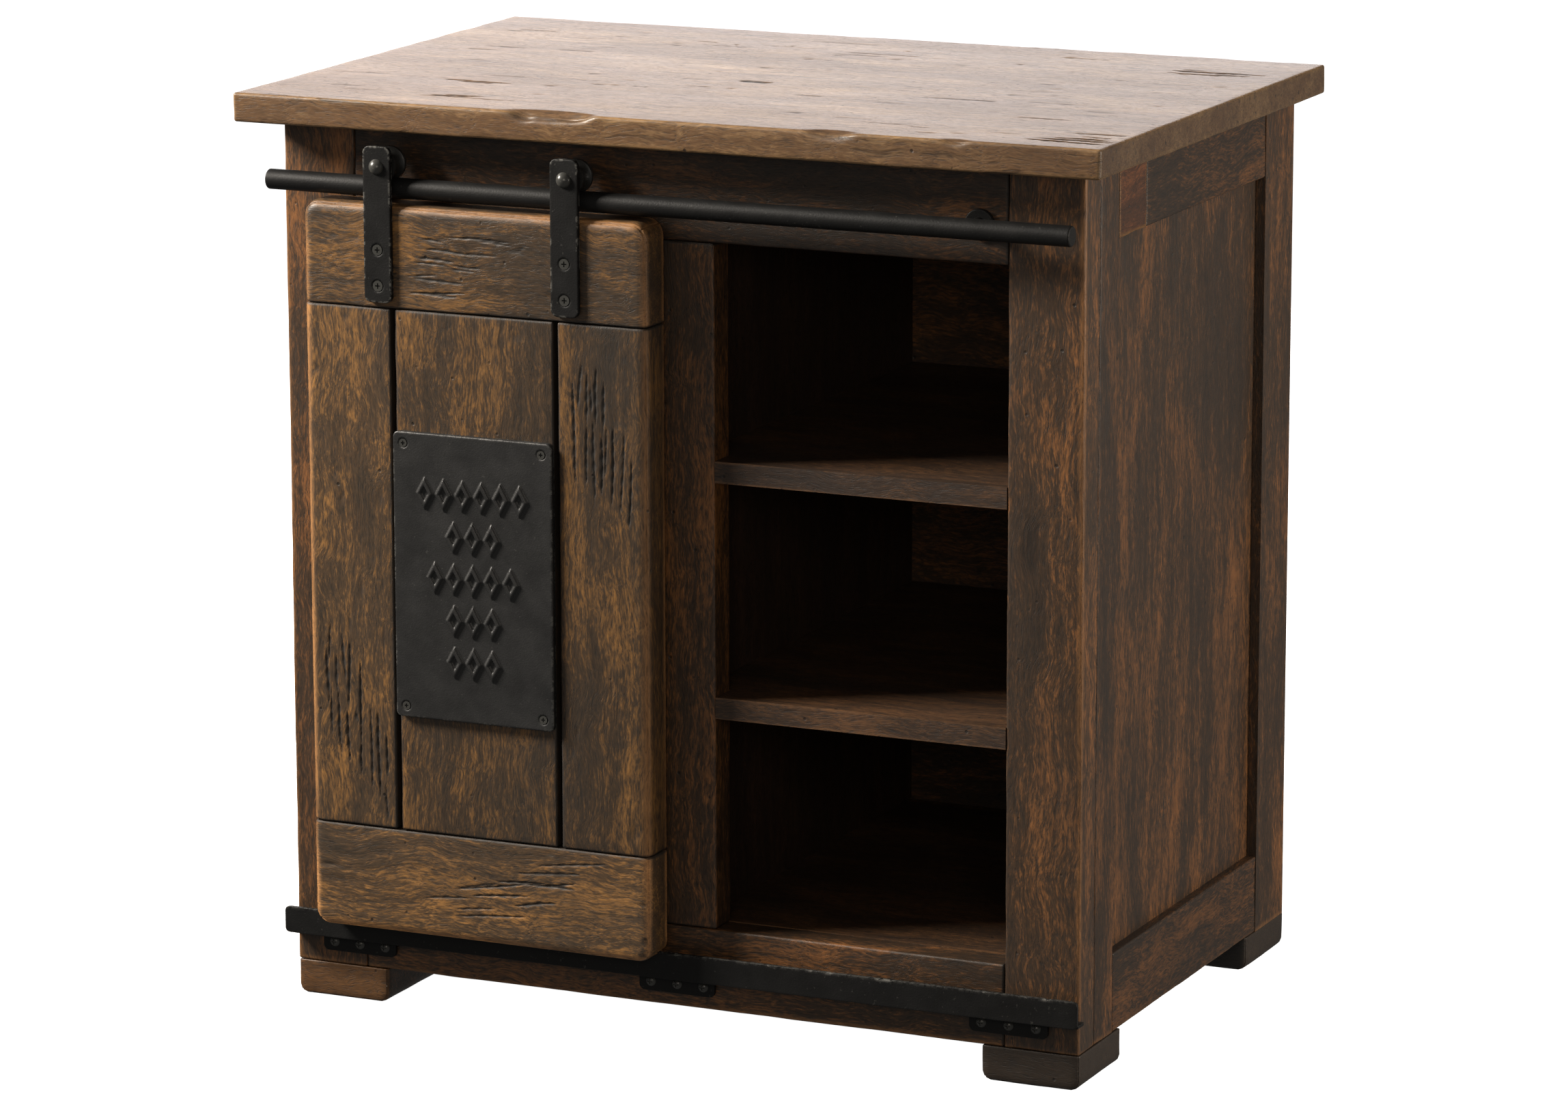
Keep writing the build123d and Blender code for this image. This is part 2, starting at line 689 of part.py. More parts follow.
def make_plate():
    """The cast plate on the middle plank, with rows of raised lozenges, held by a screw in each corner."""
    front = Location((door_centre_x, door_front_y, plate_middle_z), (90, 0, 0))
    plate = extrude(front * RectangleRounded(plate_width, plate_height, plate_corner_round), plate_thickness)
    plate = fillet(plate.faces().sort_by(Axis.Y)[0].edges(), plate_edge_round)
    inner_share = 1 - 2 * relief_stroke / relief_width
    ring = lozenge(relief_width, relief_height_z) - lozenge(
        relief_width * inner_share, relief_height_z * inner_share
    )
    top_row = (len(relief_rows) - 1) / 2 * relief_row_pitch
    for row, count in enumerate(relief_rows):
        height = plate_middle_z + top_row - row * relief_row_pitch
        for index in range(count):
            x = door_centre_x + (index - (count - 1) / 2) * relief_step
            plate += extrude(Location((x, plate_front_y, height), (90, 0, 0)) * ring, relief_height)
    places = []
    for x in (-1, 1):
        for z in (-1, 1):
            screw_x = door_centre_x + x * (plate_width / 2 - plate_screw_inset)
            screw_z = plate_middle_z + z * (plate_height / 2 - plate_screw_inset)
            places.append(facing_front(screw_x, plate_front_y, screw_z))
    screws, holes = place_all(countersunk(plate_screw), places)
    nodes["plate"] = plate
    cut(["plate", "door_plank_left", "door_plank_middle", "door_plank_right"], holes)
    nodes["plate_screws"] = Compound(screws)


# ---------------------------------------------------------------- build and write
make_top()
make_feet()
make_posts()
make_rails()
make_side_panels()
make_back_panel()
make_divider()
make_inside()
make_corner_blocks()
make_foot_screws()
make_side_patch()
make_track()
make_guide()
make_door_boards()
make_straps()
make_hangers()
make_plate()

os.makedirs("parts", exist_ok=True)
for name, shape in nodes.items():
    export_step(shape, f"parts/{name}.step")
print(len(nodes), "nodes; door travel", round(door_travel, 2), "mm; origin to front face", round(front_y, 2))
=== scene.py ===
import json
import math
from itertools import product

import bpy
import numpy as np
from mathutils import Matrix, Vector


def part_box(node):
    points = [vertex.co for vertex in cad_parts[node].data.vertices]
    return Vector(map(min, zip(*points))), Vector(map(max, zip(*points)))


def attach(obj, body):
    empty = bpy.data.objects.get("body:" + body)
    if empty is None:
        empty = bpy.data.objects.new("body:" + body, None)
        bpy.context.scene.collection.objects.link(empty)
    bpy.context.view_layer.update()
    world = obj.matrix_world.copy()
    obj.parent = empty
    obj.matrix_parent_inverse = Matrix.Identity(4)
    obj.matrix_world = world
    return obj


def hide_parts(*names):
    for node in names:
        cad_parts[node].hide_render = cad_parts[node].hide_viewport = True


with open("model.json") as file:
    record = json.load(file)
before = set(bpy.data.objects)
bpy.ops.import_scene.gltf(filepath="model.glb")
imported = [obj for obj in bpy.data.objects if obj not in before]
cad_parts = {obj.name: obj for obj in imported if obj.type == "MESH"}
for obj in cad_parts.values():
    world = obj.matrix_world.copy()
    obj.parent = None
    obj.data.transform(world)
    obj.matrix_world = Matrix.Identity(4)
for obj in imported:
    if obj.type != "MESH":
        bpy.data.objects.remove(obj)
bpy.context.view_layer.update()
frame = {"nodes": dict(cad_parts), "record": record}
nodes = frame["nodes"]
bodyOf = {node: body for body, group in frame["record"]["behaviour"]["bodies"].items() for node in group}
mm = 0.001
print("frame loaded:", len(nodes), "nodes")


def boxOf(node):
    # a CAD node's lowest and highest corner, in mm
    low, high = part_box(node)
    return np.array(low) / mm, np.array(high) / mm


doorLow = np.minimum.reduce([boxOf(n)[0] for n in ("door_top_board", "door_bottom_board")])
doorHigh = np.maximum.reduce([boxOf(n)[1] for n in ("door_top_board", "door_bottom_board")])
postRight = boxOf("post_front_right")
postLeft = boxOf("post_front_left")
bodyBox = (postLeft[0], np.array([postRight[1][0], boxOf("post_back_right")[1][1], postRight[1][2]]))


def add(tree, kind, settings=None, links=None):
    # one shader node: settings are its properties or its sockets' values, links are what feeds them
    node = tree.nodes.new(kind)
    for key, value in (settings or {}).items():
        if isinstance(key, int) or (key in node.inputs and not hasattr(node, key)):
            node.inputs[key].default_value = value
        else:
            setattr(node, key, value)
    for key, source in (links or {}).items():
        tree.links.new(source, node.inputs[key])
    return node


def linear(hexColour):
    # an sRGB hex colour as linear RGBA
    channels = [int(hexColour[i:i + 2], 16) / 255 for i in (1, 3, 5)]
    return [c / 12.92 if c <= 0.04045 else ((c + 0.055) / 1.055) ** 2.4 for c in channels] + [1.0]


checkColour = "#171411"  # old dust and wax in checks and joints
grainWander = {"size": 70, "reach": 26}  # mm, how slowly and how far the grain wanders
# size is across the grain in mm; along it a pattern is 1 / squeeze times as long
grainPatterns = {
    "bands": {"size": 8, "squeeze": 0.06, "detail": 4.0, "rough": 0.62, "bent": 0.0},  # growth bands
    "fibre": {"size": 1.4, "squeeze": 0.16, "detail": 2.0, "rough": 0.65, "bent": 0.0},
    "cloud": {"size": 55, "squeeze": 0.28, "detail": 3.0, "rough": 0.55, "bent": 0.6},  # slow figure
    "flecks": {"size": 1.9, "squeeze": 0.17, "detail": 3.0, "rough": 0.7, "bent": 0.25},  # lighter fibre
    "patches": {  # wiped stain that stays in patches
        "size": 60, "squeeze": 0.28, "detail": 6.0, "rough": 0.62, "bent": 0.3, "from": (310, 170, 90),
    },
    # 13 mm long, drawn a little coarser than real pores so that they show
    "pores": {"size": 0.9, "squeeze": 0.07, "detail": 1.0, "rough": 0.5, "bent": 0.0},
    # long and dark
    "streaks": {"size": 5.5, "squeeze": 0.035, "detail": 3.0, "rough": 0.55, "bent": 0.0},
}
pitCell = 24  # mm between the small dark pits


def makeGrainGroup():
    # all the wood: fibre, growth bands, cloudy figure, pores, stains, worn edges and checks
    # place is in mm, with the grain along X
    group = bpy.data.node_groups.new("boardGrain", "ShaderNodeTree")
    sockets = [
        ("place", "NodeSocketVector"), ("centre", "NodeSocketVector"), ("half", "NodeSocketVector"),
        ("dark", "NodeSocketColor"), ("mid", "NodeSocketColor"), ("light", "NodeSocketColor"),
        ("edge", "NodeSocketColor"), ("stain", "NodeSocketColor"),
        ("figure", "NodeSocketFloat"), ("stained", "NodeSocketFloat"), ("streaks", "NodeSocketFloat"),
        ("worn", "NodeSocketFloat"), ("wornReach", "NodeSocketFloat"),
        ("roughness", "NodeSocketFloat"), ("relief", "NodeSocketFloat"), ("pores", "NodeSocketFloat"),
    ]
    for name, kind in sockets:
        group.interface.new_socket(name, in_out="INPUT", socket_type=kind)
    for name, kind in (
        ("colour", "NodeSocketColor"), ("gloss", "NodeSocketFloat"), ("normal", "NodeSocketVector"),
    ):
        group.interface.new_socket(name, in_out="OUTPUT", socket_type=kind)
    given = group.nodes.new("NodeGroupInput").outputs
    result = group.nodes.new("NodeGroupOutput")

    # a slow wander of the grain
    wander = add(
        group, "ShaderNodeTexNoise", {"Scale": 1 / grainWander["size"], "Detail": 2.0},
        {"Vector": given["place"]},
    )
    centred = add(
        group, "ShaderNodeVectorMath", {"operation": "SUBTRACT", 1: (0.5, 0.5, 0.5)},
        {0: wander.outputs["Color"]},
    )
    shift = add(
        group, "ShaderNodeVectorMath",
        {"operation": "MULTIPLY", 1: (0, grainWander["reach"], grainWander["reach"])},
        {0: centred.outputs[0]},
    )
    wavy = add(
        group, "ShaderNodeVectorMath", {"operation": "ADD"}, {0: given["place"], 1: shift.outputs[0]},
    )

    noise = {}
    for name, pattern in grainPatterns.items():
        place = add(
            group, "ShaderNodeVectorMath", {"operation": "MULTIPLY", 1: (pattern["squeeze"], 1, 1)},
            {0: wavy.outputs[0]},
        )
        if "from" in pattern:
            place = add(
                group, "ShaderNodeVectorMath", {"operation": "ADD", 1: pattern["from"]},
                {0: place.outputs[0]},
            )
        settings = {
            "Scale": 1 / pattern["size"], "Detail": pattern["detail"], "Roughness": pattern["rough"],
            "Distortion": pattern["bent"],
        }
        noise[name] = add(
            group, "ShaderNodeTexNoise", settings, {"Vector": place.outputs[0]},
        ).outputs["Fac"]
    pores = add(
        group, "ShaderNodeMapRange", {"From Min": 0.57, "From Max": 0.69}, {"Value": noise["pores"]},
    )
    pitCells = add(group, "ShaderNodeTexVoronoi", {"Scale": 1 / pitCell}, {"Vector": given["place"]})
    pits = add(
        group, "ShaderNodeMapRange", {"From Min": 0.035, "From Max": 0.075, "To Min": 1.0, "To Max": 0.0},
        {"Value": pitCells.outputs["Distance"]},
    )

    # figure from dark to mid, then light: fine flecks most, then the slow clouds and the bands
    figureSum = add(
        group, "ShaderNodeMath", {"operation": "MULTIPLY_ADD", 1: 0.45},
        {0: noise["bands"], 2: noise["flecks"]},
    )
    figureSum = add(
        group, "ShaderNodeMath", {"operation": "MULTIPLY_ADD", 1: 0.85},
        {0: noise["cloud"], 2: figureSum.outputs[0]},
    )
    figureCentred = add(
        group, "ShaderNodeMath", {"operation": "SUBTRACT", 1: 1.15}, {0: figureSum.outputs[0]},
    )
    figureScaled = add(
        group, "ShaderNodeMath", {"operation": "MULTIPLY_ADD", 2: 0.5},
        {0: figureCentred.outputs[0], 1: given["figure"]},
    )
    base = add(
        group, "ShaderNodeMix", {"data_type": "RGBA"},
        {"Factor": figureScaled.outputs[0], 6: given["dark"], 7: given["mid"]},
    )
    glow = add(
        group, "ShaderNodeMapRange", {"From Min": 0.5, "From Max": 1.05},
        {"Value": figureScaled.outputs[0]},
    )
    lit = add(
        group, "ShaderNodeMix", {"data_type": "RGBA"},
        {"Factor": glow.outputs[0], 6: base.outputs[2], 7: given["light"]},
    )

    # stain patches
    stainMask = add(
        group, "ShaderNodeMapRange", {"From Min": 0.44, "From Max": 0.70}, {"Value": noise["patches"]},
    )
    stainShare = add(
        group, "ShaderNodeMath", {"operation": "MULTIPLY"},
        {0: stainMask.outputs[0], 1: given["stained"]},
    )
    stained = add(
        group, "ShaderNodeMix", {"data_type": "RGBA"},
        {"Factor": stainShare.outputs[0], 6: lit.outputs[2], 7: given["stain"]},
    )

    # worn edges: the middle one of the three distances to the faces is that to the nearest edge
    spot = add(group, "ShaderNodeTexCoord")
    local = add(
        group, "ShaderNodeVectorMath", {"operation": "SUBTRACT"},
        {0: spot.outputs["Object"], 1: given["centre"]},
    )
    mirrored = add(group, "ShaderNodeVectorMath", {"operation": "ABSOLUTE"}, {0: local.outputs[0]})
    gap = add(
        group, "ShaderNodeVectorMath", {"operation": "SUBTRACT"},
        {0: given["half"], 1: mirrored.outputs[0]},
    )
    gaps = add(group, "ShaderNodeSeparateXYZ", None, {0: gap.outputs[0]}).outputs
    ofAll = {}
    for operation in ("MINIMUM", "MAXIMUM", "ADD"):
        first = add(group, "ShaderNodeMath", {"operation": operation}, {0: gaps[0], 1: gaps[1]})
        second = add(group, "ShaderNodeMath", {"operation": operation}, {0: first.outputs[0], 1: gaps[2]})
        ofAll[operation] = second.outputs[0]
    middle = add(
        group, "ShaderNodeMath", {"operation": "SUBTRACT"}, {0: ofAll["ADD"], 1: ofAll["MINIMUM"]},
    )
    middle = add(
        group, "ShaderNodeMath", {"operation": "SUBTRACT"}, {0: middle.outputs[0], 1: ofAll["MAXIMUM"]},
    )
    ragged = add(
        group, "ShaderNodeMath", {"operation": "MULTIPLY_ADD", 1: 0.011, 2: -0.0055},
        {0: noise["patches"]},
    )
    edgeGap = add(
        group, "ShaderNodeMath", {"operation": "ADD"}, {0: middle.outputs[0], 1: ragged.outputs[0]},
    )
    edgeMask = add(
        group, "ShaderNodeMapRange",
        {"From Min": 0.0, "To Min": 1.0, "To Max": 0.0, "interpolation_type": "SMOOTHSTEP"},
        {"Value": edgeGap.outputs[0], "From Max": given["wornReach"]},
    )
    wornShare = add(
        group, "ShaderNodeMath", {"operation": "MULTIPLY"}, {0: edgeMask.outputs[0], 1: given["worn"]},
    )
    worn = add(
        group, "ShaderNodeMix", {"data_type": "RGBA"},
        {"Factor": wornShare.outputs[0], 6: stained.outputs[2], 7: given["edge"]},
    )

    # bands and fibre darken and lighten it, pores and pits are near black
    bandTone = add(
        group, "ShaderNodeMapRange", {"From Min": 0.32, "From Max": 0.68, "To Min": 0.88, "To Max": 1.1},
        {"Value": noise["bands"]},
    )
    fibreTone = add(
        group, "ShaderNodeMapRange", {"From Min": 0.25, "From Max": 0.75, "To Min": 0.70, "To Max": 1.28},
        {"Value": noise["fibre"]},
    )
    poreShare = add(
        group, "ShaderNodeMath", {"operation": "MULTIPLY"}, {0: pores.outputs[0], 1: given["pores"]},
    )
    poreTone = add(
        group, "ShaderNodeMath", {"operation": "MULTIPLY_ADD", 1: -0.6, 2: 1.0},
        {0: poreShare.outputs[0]},
    )
    streakMask = add(
        group, "ShaderNodeMapRange", {"From Min": 0.60, "From Max": 0.72}, {"Value": noise["streaks"]},
    )
    streakShare = add(
        group, "ShaderNodeMath", {"operation": "MULTIPLY"},
        {0: streakMask.outputs[0], 1: given["streaks"]},
    )
    streakTone = add(
        group, "ShaderNodeMath", {"operation": "MULTIPLY_ADD", 1: -0.65, 2: 1.0},
        {0: streakShare.outputs[0]},
    )
    # painted shade on the sides comes with the mesh as the shade attribute
    shade = add(group, "ShaderNodeAttribute", {"attribute_name": "shade"})
    shadeTone = add(
        group, "ShaderNodeMath", {"operation": "MULTIPLY_ADD", 1: -0.7, 2: 1.0},
        {0: shade.outputs["Fac"]},
    )
    pitTone = add(
        group, "ShaderNodeMath", {"operation": "MULTIPLY_ADD", 1: -0.75, 2: 1.0}, {0: pits.outputs[0]},
    )
    tone = bandTone
    for each in (fibreTone, poreTone, streakTone, shadeTone, pitTone):
        tone = add(
            group, "ShaderNodeMath", {"operation": "MULTIPLY"}, {0: tone.outputs[0], 1: each.outputs[0]},
        )
    toned = add(
        group, "ShaderNodeVectorMath", {"operation": "SCALE"},
        {0: worn.outputs[2], "Scale": tone.outputs[0]},
    )

    # carved checks and chips come with the mesh as the crack attribute
    crack = add(group, "ShaderNodeAttribute", {"attribute_name": "crack"})
    crackShare = add(
        group, "ShaderNodeMath", {"operation": "MULTIPLY", 1: 0.9, "use_clamp": True},
        {0: crack.outputs["Fac"]},
    )
    cracked = add(
        group, "ShaderNodeMix", {"data_type": "RGBA", 7: linear(checkColour)},
        {"Factor": crackShare.outputs[0], 6: toned.outputs[0]},
    )
    group.links.new(cracked.outputs[2], result.inputs["colour"])

    glossNoise = add(
        group, "ShaderNodeMath", {"operation": "MULTIPLY_ADD", 1: 0.12, 2: -0.06}, {0: noise["patches"]},
    )
    gloss = add(
        group, "ShaderNodeMath", {"operation": "ADD"}, {0: given["roughness"], 1: glossNoise.outputs[0]},
    )
    gloss = add(
        group, "ShaderNodeMath", {"operation": "MULTIPLY_ADD", 1: 0.2},
        {0: crackShare.outputs[0], 2: gloss.outputs[0]},
    )
    gloss = add(
        group, "ShaderNodeMath", {"operation": "MULTIPLY_ADD", 1: 0.12, "use_clamp": True},
        {0: poreShare.outputs[0], 2: gloss.outputs[0]},
    )
    group.links.new(gloss.outputs[0], result.inputs["gloss"])

    height = add(
        group, "ShaderNodeMath", {"operation": "MULTIPLY_ADD", 1: 0.5},
        {0: noise["fibre"], 2: noise["bands"]},
    )
    for source, deep in ((poreShare, -0.35), (streakShare, -0.8), (pits, -1.2)):
        height = add(
            group, "ShaderNodeMath", {"operation": "MULTIPLY_ADD", 1: deep},
            {0: source.outputs[0], 2: height.outputs[0]},
        )
    bump = add(
        group, "ShaderNodeBump", {"Distance": 0.0005},
        {"Height": height.outputs[0], "Strength": given["relief"]},
    )
    group.links.new(bump.outputs[0], result.inputs["normal"])
    return group


grainGroup = makeGrainGroup()
figureRange = 4000  # mm, how far from the origin a board's cut may lie

waxIor = 1.5
# finishes of the same solid mango wood, all waxed over a wiped dark stain
woodFinishes = {
    "burnishedTop": {  # rubbed back pale, satin wax: shines at a low angle
        "dark": "#634730", "mid": "#836444", "light": "#a2825c", "edge": "#a58353", "stain": "#54412f",
        "figure": 1.2, "stained": 0.3, "streaks": 1.0, "worn": 0.35, "wornReach": 0.005,
        "roughness": 0.40, "relief": 0.5, "pores": 0.8, "coat": 0.15,
    },
    "burnishedDoor": {  # tan flecks through dark wax, edges rubbed to bare wood
        "dark": "#30271d", "mid": "#5d452c", "light": "#926836", "edge": "#b98552", "stain": "#2d2822",
        "figure": 1.75, "stained": 0.55, "streaks": 0.4, "worn": 0.8, "wornReach": 0.008,
        "roughness": 0.47, "relief": 0.55, "pores": 0.8, "coat": 0.0,
    },
    "darkBody": {  # same wood, more stain left on
        "dark": "#291e14", "mid": "#4a331e", "light": "#7a4f29", "edge": "#7d5630", "stain": "#271f18",
        "figure": 2.0, "stained": 0.5, "streaks": 0.55, "worn": 0.6, "wornReach": 0.005,
        "roughness": 0.49, "relief": 0.5, "pores": 0.9, "coat": 0.0,
    },
    "shelfBoards": {  # as the body, a thin arris rubbed through
        "dark": "#291d15", "mid": "#44301f", "light": "#614228", "edge": "#7a5636", "stain": "#281f1a",
        "figure": 1.6, "stained": 0.5, "streaks": 0.4, "worn": 0.35, "wornReach": 0.002,
        "roughness": 0.50, "relief": 0.5, "pores": 0.9, "coat": 0.0,
    },
    "innerBoardsPaintedShade": {  # never rubbed back, flat, and made nearly black as painted shade inside the body and in the door's gaps
        "dark": "#281c14", "mid": "#38271b", "light": "#463122", "edge": "#463122", "stain": "#241a13",
        "figure": 1.3, "stained": 0.5, "streaks": 0.5, "worn": 0.0, "wornReach": 0.003,
        "roughness": 0.6, "relief": 0.5, "pores": 0.9, "coat": 0.0,
    },
    "rightFootInShade": {  # scuffed blocks, the darkest wood, darker than the left feet as painted shade on the right side
        "dark": "#1d1813", "mid": "#2b221a", "light": "#3c2e22", "edge": "#4c3c2d", "stain": "#211c18",
        "figure": 1.6, "stained": 0.6, "streaks": 0.4, "worn": 0.5, "wornReach": 0.006,
        "roughness": 0.52, "relief": 0.6, "pores": 0.8, "coat": 0.0,
    },
    "redPatch": {  # a let-in piece of redder heartwood
        "dark": "#38200f", "mid": "#56321a", "light": "#744523", "edge": "#87602f", "stain": "#2c1d14",
        "figure": 1.6, "stained": 0.3, "streaks": 0.5, "worn": 0.5, "wornReach": 0.004,
        "roughness": 0.46, "relief": 0.5, "pores": 0.8, "coat": 0.0,
    },
}


def waxedWood(piece, finish, grain, seed, low, high, tone=1.0):
    # one board's own cut of the wood: grain is the axis it runs along, seed gives the start of its
    # figure, and tone is how light it is against its finish, for some parts with painted shade or painted
    # light in it
    look = woodFinishes[finish]
    material = bpy.data.materials.new(f"waxedMango_{finish}_{piece}")
    material.use_nodes = True
    tree = material.node_tree
    tree.nodes.clear()
    spot = add(tree, "ShaderNodeTexCoord")
    turn = {0: (0, 0, 0), 1: (0, 0, -math.pi / 2), 2: (0, math.pi / 2, 0)}[grain]
    offset = np.random.default_rng(seed).uniform(-figureRange, figureRange, 3)
    mapping = add(
        tree, "ShaderNodeMapping",
        {"Location": tuple(offset), "Rotation": turn, "Scale": (1 / mm, 1 / mm, 1 / mm)},
        {"Vector": spot.outputs["Object"]},
    )
    wood = tree.nodes.new("ShaderNodeGroup")
    wood.node_tree = grainGroup
    tree.links.new(mapping.outputs[0], wood.inputs["place"])
    wood.inputs["centre"].default_value = tuple((low + high) / 2 * mm)
    wood.inputs["half"].default_value = tuple((high - low) / 2 * mm)
    for key in ("dark", "mid", "light", "edge", "stain"):
        wood.inputs[key].default_value = [c * tone for c in linear(look[key])[:3]] + [1.0]
    for key in ("figure", "stained", "streaks", "worn", "wornReach", "roughness", "relief", "pores"):
        wood.inputs[key].default_value = look[key]
    shader = add(
        tree, "ShaderNodeBsdfPrincipled",
        {"IOR": waxIor, "Coat Weight": look["coat"], "Coat Roughness": 0.25},
        {
            "Base Color": wood.outputs["colour"], "Roughness": wood.outputs["gloss"],
            "Normal": wood.outputs["normal"],
        },
    )
    add(tree, "ShaderNodeOutputMaterial", None, {"Surface": shader.outputs[0]})
    return material


noiseTable, noiseStart = 24, 100  # cells before it repeats, and a start that keeps places positive


def smoothNoise(points, cell, seed):
    # value noise from -1 to 1 with cells of the given size in mm
    table = np.random.default_rng(seed).random((noiseTable,) * 3)
    scaled = points / np.array(cell, float) + noiseStart
    base = np.floor(scaled).astype(int)
    part = scaled - base
    part = part * part * (3 - 2 * part)
    total = np.zeros(len(points))
    for corner in product((0, 1), repeat=3):
        share = np.ones(len(points))
        for axis in range(3):
            share *= part[:, axis] if corner[axis] else 1 - part[:, axis]
        spot = (base + corner) % noiseTable
        total += share * table[spot[:, 0], spot[:, 1], spot[:, 2]]
    return total * 2 - 1


def latticeLines(low, high, soft, step, fine=()):
    # places of the mesh lines along one axis, close together over the softened edges and in the
    # fine zones, each (from, to, step)
    edge = [soft * share for share in (0, 0.18, 0.4, 0.68, 1)] + [soft + 1.2]
    count = max(2, round((high - low - 2 * edge[-1]) / step) + 1)
    inner = np.linspace(low + edge[-1], high - edge[-1], count)
    for start, end, fineStep in fine:
        start, end = max(start, low + edge[-1]), min(end, high - edge[-1])
        inner = inner[(inner < start - fineStep * 0.5) | (inner > end + fineStep * 0.5)]
        count = max(2, round((end - start) / fineStep) + 1)
        inner = np.concatenate([inner, np.linspace(start, end, count)])
    places = np.concatenate([[low + e for e in edge], inner, [high - e for e in edge]])
    return np.unique(np.round(places, 3))


def latticeShell(lines):
    # the outer skin of a box of mesh lines: points and outward quads
    shape = [len(line) for line in lines]
    skin = np.ones(shape, bool)
    skin[1:-1, 1:-1, 1:-1] = False
    index = np.full(shape, -1)
    index[skin] = np.arange(skin.sum())
    points = np.stack(np.meshgrid(*lines, indexing="ij"), -1)[skin]
    quads = []
    for axis in range(3):
        for end in (0, -1):
            side = np.take(index, end, axis=axis)
            quad = np.stack(
                [side[:-1, :-1], side[1:, :-1], side[1:, 1:], side[:-1, 1:]], -1,
            ).reshape(-1, 4)
            quads.append(quad[:, ::-1] if (end == 0) != (axis == 1) else quad)
    return points, np.concatenate(quads)


def softenBox(points, low, high, soft):
    # rounds every edge of the box to the radius soft
    centre = (low + high) / 2
    core = np.clip(points - centre, -((high - low) / 2 - soft), (high - low) / 2 - soft)
    away = points - centre - core
    longest = np.abs(away).max(1)
    length = np.maximum(np.linalg.norm(away, axis=1), 1e-9)
    return centre + core + away * (longest / length)[:, None]


def softenOutline(points, low, high, cornerRound, frontRound):
    # rounds a board's outline seen from the front, then the edge between that and the front face
    centre = (low + high)[[0, 2]] / 2
    half = (high - low)[[0, 2]] / 2 - cornerRound
    flat = points[:, [0, 2]] - centre
    core = np.clip(flat, -half, half)
    away = flat - core
    longest = np.abs(away).max(1)
    length = np.maximum(np.linalg.norm(away, axis=1), 1e-9)
    outward = away / length[:, None]
    fromOutline = cornerRound - longest
    fromFront = points[:, 1] - low[1]
    reachA, reachB = frontRound - fromOutline, frontRound - fromFront
    near = (reachA > 0) & (reachB > 0)
    share = np.where(near, np.maximum(reachA, reachB) / np.maximum(np.hypot(reachA, reachB), 1e-9), 1)
    moveIn = np.where(near, reachA - reachA * share, 0)
    moveBack = np.where(near, reachB - reachB * share, 0)
    flat = core + outward * (longest - moveIn)[:, None]
    result = points.copy()
    result[:, [0, 2]] = centre + flat
    result[:, 1] += moveBack
    return result


def paintPoints(mesh, attributes):
    # one value per point for the materials to read
    for key, values in attributes.items():
        layer = mesh.attributes.new(key, "FLOAT", "POINT")
        layer.data.foreach_set("value", values.astype(np.float32))


def meshFrom(name, points, quads, attributes=None):
    # a smooth-shaded mesh object from points in mm
    mesh = bpy.data.meshes.new(name)
    mesh.vertices.add(len(points))
    mesh.vertices.foreach_set("co", (points * mm).astype(np.float32).ravel())
    mesh.loops.add(quads.size)
    mesh.loops.foreach_set("vertex_index", quads.astype(np.int32).ravel())
    mesh.polygons.add(len(quads))
    mesh.polygons.foreach_set("loop_start", np.arange(0, quads.size, 4, dtype=np.int32))
    mesh.polygons.foreach_set("loop_total", np.full(len(quads), 4, np.int32))
    mesh.update(calc_edges=True)
    mesh.shade_smooth()
    paintPoints(mesh, attributes or {})
    piece = bpy.data.objects.new(name, mesh)
    bpy.context.scene.collection.objects.link(piece)
    return piece


def normalsOf(piece):
    values = np.zeros(len(piece.data.vertices) * 3, np.float32)
    piece.data.vertex_normals.foreach_get("vector", values)
    return values.reshape(-1, 3).astype(float)


def crackDepth(u, v, cracks, seed):
    # checks along u (mm): each is (u0, v0, u1, v1, half width, depth); its line wanders a little
    rng = np.random.default_rng(seed)
    depth = np.zeros(len(u))
    for u0, v0, u1, v1, halfWidth, deep in cracks:
        along = np.clip((u - u0) / (u1 - u0 + 1e-9), 0, 1)
        phase, beats, sway = rng.uniform(0, 6.3), rng.uniform(0.4, 1.1), rng.uniform(0.1, 0.5)
        line = v0 + (v1 - v0) * along + sway * np.sin(phase + along * 6.3 * beats)
        line = line + 0.22 * np.sin(phase * 5 + u * 0.9) * np.sin(phase + u * 0.37)
        ragged = 0.72 + 0.28 * np.sin(phase * 3 + u * 0.55)
        width = halfWidth * np.sin(np.pi * along) ** 0.5 * ragged
        inside = np.clip(1 - np.abs(v - line) / np.maximum(width, 1e-6), 0, 1)
        depth = np.maximum(depth, deep * inside)
    return depth


carving = {  # sizes in mm
    "rubbedCell": 26, "nickedCell": 7, "nicked": 0.35,  # patches of an edge worn more or less
    "dentSize": (1.4, 4.0), "dentLong": (1.0, 2.4), "dentDeep": (0.25, 0.7), "dentDark": (0.0, 0.75),
    "checkDark": 0.4,  # a check this deep is as dark as any
    "seamReach": 1.4, "seamFull": 1.8, "seamDark": 0.9,  # dirt and wax in a joint
    "facetCell": (9, 3, 3),  # the splintered facets of a chip
    "shadeFrom": 0.9, "shadeSharp": 3,  # how far a face leans over before it counts as a side
}


